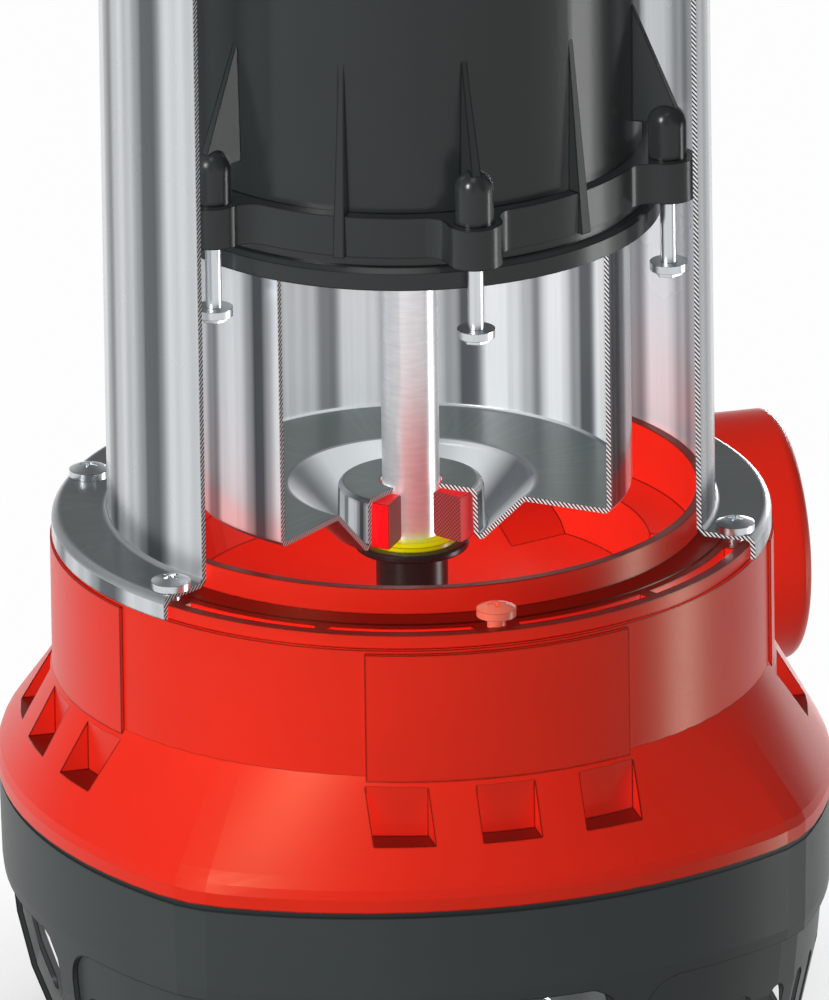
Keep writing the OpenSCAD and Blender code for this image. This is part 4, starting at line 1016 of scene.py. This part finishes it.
@dataclass
class MotorUnit(SubAssembly):
    """Motor housing with its screws, the stator with wound coils and the rotor."""

    inner: float = 36.4 * MM
    outer: float = 52.8 * MM
    lower_ends: tuple[float, float] = (262.2 * MM, 277.9 * MM)
    upper_ends: tuple[float, float] = (328.1 * MM, 343.8 * MM)
    squareness: float = 0.6
    coils: int = 24
    coil_depth: float = 0.9 * MM
    coil_lean: float = 0.8
    wires_per_coil: int = 5
    wire_depth: float = 0.16 * MM
    wire_slant: int = 6
    around: int = 480
    across: int = 36
    cord_radius: float = 0.45 * MM
    cord_steps: int = 24
    cord_sides: int = 6

    def finishes(self) -> dict[str, Finish]:
        """Black housing, laminated stack, cast rings."""
        return {
            "motor_housing": MOTOR, "motor_screws": SCREW, "rotor_core": STACK, "rotor_end_rings": ALUMINIUM,
            "stator_core": STACK, "lower_winding": COPPER, "upper_winding": COPPER,
        }

    def section(self, ends: tuple[float, float], turn: float, inset: float) -> tuple[float, float]:
        """A point of the winding's rounded cross section.

        Args:
            ends: Lowest and highest point of the winding.
            turn: Angle round the section.
            inset: Distance inside the section's outline.

        Returns:
            The radius from the pump's axis and the height.
        """
        half_width = (self.outer - self.inner) / 2 - inset
        half_height = (ends[1] - ends[0]) / 2 - inset
        across, along = (
            math.copysign(abs(share) ** self.squareness, share) for share in (math.cos(turn), math.sin(turn))
        )
        return (self.inner + self.outer) / 2 + half_width * across, sum(ends) / 2 + half_height * along

    def bundle(self, name: str, ends: tuple[float, float]) -> bpy.types.Object:
        """One end winding: coils side by side, with their wires as ridges.

        Args:
            name: The name of the piece.
            ends: Lowest and highest point of the winding.

        Returns:
            The winding.
        """
        rows = []
        for step in range(self.around):
            angle = 2 * math.pi * step / self.around
            row = []
            for place in range(self.across):
                turn = 2 * math.pi * place / self.across
                coil = abs(math.sin(self.coils * angle / 2 + self.coil_lean * math.cos(turn)))
                wire = math.cos(self.coils * self.wires_per_coil * angle + self.wire_slant * turn)
                inset = self.coil_depth * (1 - coil) + self.wire_depth * (1 - wire) / 2 + self.cord_radius
                radius, height = self.section(ends, turn, inset)
                row.append((radius * math.cos(angle), radius * math.sin(angle), height))
            rows.append(row)
        return lofted(name, rows, closed=True)

    def lacing(self, name: str, ends: tuple[float, float]) -> bpy.types.Object:
        """The cord that ties the coils of one end winding, wound round the bundle as one loop.

        Args:
            name: The name of the piece.
            ends: Lowest and highest point of the winding.

        Returns:
            The lacing.
        """
        path = []
        count = self.coils * self.cord_steps
        for step in range(count):
            angle = 2 * math.pi * step / count
            radius, height = self.section(ends, self.coils * angle, self.cord_radius)
            path.append(Vector((radius * math.cos(angle), radius * math.sin(angle), height)))
        return tube_along(name, path, self.cord_radius, self.cord_sides, closed=True)

    def build(self) -> list[bpy.types.Object]:
        """Winds and laces the two end windings in place of their plain solids."""
        made = []
        for side, ends in (("lower", self.lower_ends), ("upper", self.upper_ends)):
            coils = self.seat(self.bundle(f"{side}_coils", ends), COPPER, Body.HOUSING, Slot.WINDING_COPPER)
            cord = self.seat(self.lacing(f"{side}_lacing", ends), LACING, Body.HOUSING, Slot.WINDING_COPPER)
            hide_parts(f"{side}_winding")
            made += [coils, cord]
        return made


@dataclass
class MotorHead(SubAssembly):
    """End shield, capacitor with its leads, top cover, handle and cable gland."""

    tab_x: float = 37.2 * MM
    tab_z: float = 371.3 * MM
    tab_side: float = 6 * MM
    lead_radius: float = 1.2 * MM
    lead_drop: float = 12 * MM
    lead_reach: float = 9 * MM
    lead_steps: int = 12
    lead_sides: int = 10

    def finishes(self) -> dict[str, Finish]:
        """Cast shield, bright can, black cover and handle."""
        return {
            "end_shield": ALUMINIUM, "shield_screws": SCREW, "capacitor": ALUMINIUM, "top_cover": COVER,
            "cover_seal": GASKET, "cover_screws": SCREW, "handle": COVER, "handle_screws": SCREW,
            "gland_body": COVER, "gland_seal": GASKET, "gland_nut": COVER,
        }

    def build(self) -> list[bpy.types.Object]:
        """Puts a lead on each tab of the capacitor, bent down towards the windings."""
        made = []
        for side, name in ((-1, "left"), (1, "right")):
            path = []
            for step in range(self.lead_steps + 1):
                turn = step / self.lead_steps * math.pi / 2
                outward = self.tab_x + self.lead_reach * math.sin(turn)
                height = self.tab_z - self.lead_drop * (1 - math.cos(turn))
                path.append(Vector((outward, side * self.tab_side, height)))
            lead = tube_along(f"capacitor_lead_{name}", path, self.lead_radius, self.lead_sides)
            made.append(self.seat(lead, LEAD, Body.HOUSING, Slot.CAST_ALUMINIUM))
        return made


# Studio


@dataclass(frozen=True)
class SoftLamp:
    """One rectangular lamp that looks at the pump, placed by its direction from it."""

    name: str
    azimuth: float
    elevation: float
    distance: float
    size: tuple[float, float]
    watts: float
    shadow: bool = False

    def build(self, target: Vector) -> bpy.types.Object:
        """Makes the lamp.

        Args:
            target: The point that the lamp faces.

        Returns:
            The lamp object.
        """
        light = bpy.data.lights.new(self.name, "AREA")
        light.shape = "RECTANGLE"
        light.size, light.size_y = self.size
        light.energy = self.watts
        light.use_shadow = self.shadow
        lamp = bpy.data.objects.new(self.name, light)
        lamp.location = target + towards(self.azimuth, self.elevation) * self.distance
        lamp.rotation_euler = (target - lamp.location).to_track_quat("-Z", "Y").to_euler()
        bpy.context.collection.objects.link(lamp)
        return lamp


@dataclass
class Studio:
    """Floor, background and lamps.

    The flags are dark and bright stripes of the background, each with its place round the pump as a
    share of a turn and its brightness.
    """

    aim: Vector = field(default_factory=lambda: Vector((0.0, 0.0, 200 * MM)))
    floor_half: float = 30.0
    floor_glow: float = 0.985
    floor_colour: Colour = srgb(150, 150, 150)
    shadow_reach: float = 90 * MM
    shadow_samples: int = 8
    shadow_colour: Colour = (0.35, 0.35, 0.36, 1.0)
    ambient: float = 0.08
    overhead: float = 0.25
    overhead_range: tuple[float, float] = (0.2, 0.8)
    flags: tuple[tuple[float, float], ...] = (
        (0.0, 0.7), (0.06, 0.15), (0.12, 0.9), (0.2, 0.3), (0.3, 1.0), (0.38, 0.2), (0.46, 0.8),
        (0.53, 0.12), (0.58, 1.0), (0.64, 0.8), (0.69, 0.12), (0.75, 0.9), (0.81, 0.6), (0.87, 0.1),
        (0.94, 0.9),
    )
    lamps: tuple[SoftLamp, ...] = (
        SoftLamp("key lamp", -57.0, 30.0, 2.2, (0.5, 0.7), 50.0),
        SoftLamp("side lamp", 81.0, -18.0, 2.2, (0.14, 0.8), 15.0),
        SoftLamp("back lamp", 150.0, -6.0, 2.4, (0.8, 0.5), 30.0),
        SoftLamp("top lamp", -30.0, 70.0, 2.4, (0.9, 0.9), 6.0, shadow=True),
    )

    def build(self) -> None:
        """Makes the floor, the world and the lamps."""
        self.build_floor()
        self.build_world()
        for lamp in self.lamps:
            lamp.build(self.aim)
            LOG.info("made %s", lamp.name)

    def build_floor(self) -> None:
        """A plain pale floor."""
        mesh = bpy.data.meshes.new("floor")
        half = self.floor_half
        corners = [(-half, -half, 0), (half, -half, 0), (half, half, 0), (-half, half, 0)]
        mesh.from_pydata(corners, [], [(0, 1, 2, 3)])
        floor = bpy.data.objects.new("floor", mesh)
        bpy.context.collection.objects.link(floor)
        floor.data.materials.append(self.floor_material())

    def floor_material(self) -> bpy.types.Material:
        """The floor's material: white to the rays that show it, with a faint shadow round the pump.

        Returns:
            The material.
        """
        made = bpy.data.materials.new("floor white")
        made.use_nodes = True
        sheet = NodeSheet(made.node_tree)
        output = sheet.add("ShaderNodeOutputMaterial")
        matt = sheet.add("ShaderNodeBsdfDiffuse")
        matt.inputs["Color"].default_value = self.floor_colour
        glow = sheet.add("ShaderNodeEmission")
        nook = sheet.add("ShaderNodeAmbientOcclusion", samples=self.shadow_samples)
        nook.inputs["Distance"].default_value = self.shadow_reach
        sheet.feed(glow.inputs["Color"], sheet.mix(nook.outputs["AO"], self.shadow_colour, WHITE))
        mix = sheet.add("ShaderNodeMixShader")
        sheet.feed(mix.inputs[0], sheet.times(self.shown(sheet), self.floor_glow))
        sheet.feed(mix.inputs[1], matt.outputs[0])
        sheet.feed(mix.inputs[2], glow.outputs[0])
        sheet.feed(output.inputs["Surface"], mix.outputs[0])
        return made

    def shown(self, sheet: NodeSheet) -> bpy.types.NodeSocket:
        """A mask of the rays that show the background: camera, gloss and glass."""
        path = sheet.add("ShaderNodeLightPath").outputs
        seen = sheet.math("MAXIMUM", path["Is Camera Ray"], path["Is Glossy Ray"])
        return sheet.math("MAXIMUM", seen, path["Is Transmission Ray"])

    def build_world(self) -> None:
        """White to the camera, white with dark upright flags to metal, and dim to matt surfaces."""
        world = bpy.data.worlds.new("studio")
        bpy.context.scene.world = world
        world.use_nodes = True
        sheet = NodeSheet(world.node_tree)
        output = sheet.add("ShaderNodeOutputWorld")
        dim = sheet.add("ShaderNodeBackground")
        dim.inputs["Strength"].default_value = self.ambient
        dim.inputs["Color"].default_value = WHITE
        bright = sheet.add("ShaderNodeBackground")
        x, y, z = sheet.axes(sheet.add("ShaderNodeTexCoord").outputs["Generated"])
        turn = sheet.math("DIVIDE", sheet.math("ARCTAN2", y, x), 2 * math.pi)
        flags = sheet.add("ShaderNodeValToRGB")
        sheet.feed(flags.inputs[0], sheet.math("FRACT", sheet.plus(turn, 1.0)))
        elements = flags.color_ramp.elements
        elements.remove(elements[-1])
        for place, value in self.flags:
            element = elements[0] if place == 0.0 else elements.new(place)
            element.color = (value, value, value, 1.0)
        veil = sheet.ramp(z, *self.overhead_range, 1.0, self.overhead)
        camera = sheet.add("ShaderNodeLightPath").outputs["Is Camera Ray"]
        veiled = sheet.mix(1.0, flags.outputs[0], veil, blend="MULTIPLY")
        sheet.feed(bright.inputs["Color"], sheet.mix(camera, veiled, WHITE))
        mix = sheet.add("ShaderNodeMixShader")
        sheet.feed(mix.inputs[0], self.shown(sheet))
        sheet.feed(mix.inputs[1], dim.outputs[0])
        sheet.feed(mix.inputs[2], bright.outputs[0])
        sheet.feed(output.inputs["Surface"], mix.outputs[0])


@dataclass
class PictureCamera:
    """A very long lens at the picture's viewing angle.

    Lens and sensor are in millimetres, as on a real camera.
    """

    azimuth: float = -14.3
    elevation: float = 20.3
    roll: float = 0.8
    lens: float = 1200.0
    sensor: float = 36.0
    picture_height: float = 1000.0
    points_per_metre: float = 3850.0
    centre_height: float = 150 * MM
    aim_right: float = 0.85 * MM
    aim_up: float = 6.51 * MM
    nearest: float = 0.1
    farthest: float = 100.0

    def build(self) -> bpy.types.Object:
        """Makes the camera and makes it the scene's.

        Returns:
            The camera object.
        """
        turn, roll = math.radians(self.azimuth), math.radians(self.roll)
        right = Vector((math.cos(turn), math.sin(turn), 0.0))
        back = towards(self.azimuth, self.elevation)
        up = back.cross(right)
        aim = Vector((0.0, 0.0, self.centre_height)) + right * self.aim_right + up * self.aim_up
        data = bpy.data.cameras.new("picture camera")
        data.lens = self.lens
        data.sensor_width = self.sensor
        data.sensor_fit = "AUTO"
        data.clip_start, data.clip_end = self.nearest, self.farthest
        camera = bpy.data.objects.new("picture camera", data)
        distance = self.picture_height / self.points_per_metre * self.lens / self.sensor
        rolled_right = right * math.cos(roll) - up * math.sin(roll)
        rolled_up = up * math.cos(roll) + right * math.sin(roll)
        turned = Matrix((rolled_right, rolled_up, back)).transposed()
        camera.matrix_world = Matrix.Translation(aim + back * distance) @ turned.to_4x4()
        bpy.context.collection.objects.link(camera)
        bpy.context.scene.camera = camera
        return camera


def main() -> None:
    """Builds the picture in order."""
    logging.basicConfig(level=logging.INFO, format="%(name)s: %(message)s")
    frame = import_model()
    bpy.context.scene.view_settings.view_transform = "Standard"
    undressed = dict(frame["nodes"])
    for kind in (IntakeBase, PumpEnd, ShaftSeals, JacketAndPot, MotorUnit, MotorHead):
        group = kind(undressed)
        group.dress()
        made = group.build()
        LOG.info("%s is ready with %d new pieces", kind.__name__, len(made))
    LOG.info("nodes left undressed: %d", len(undressed))
    Studio().build()
    PictureCamera().build()


if __name__ == "__main__":
    main()
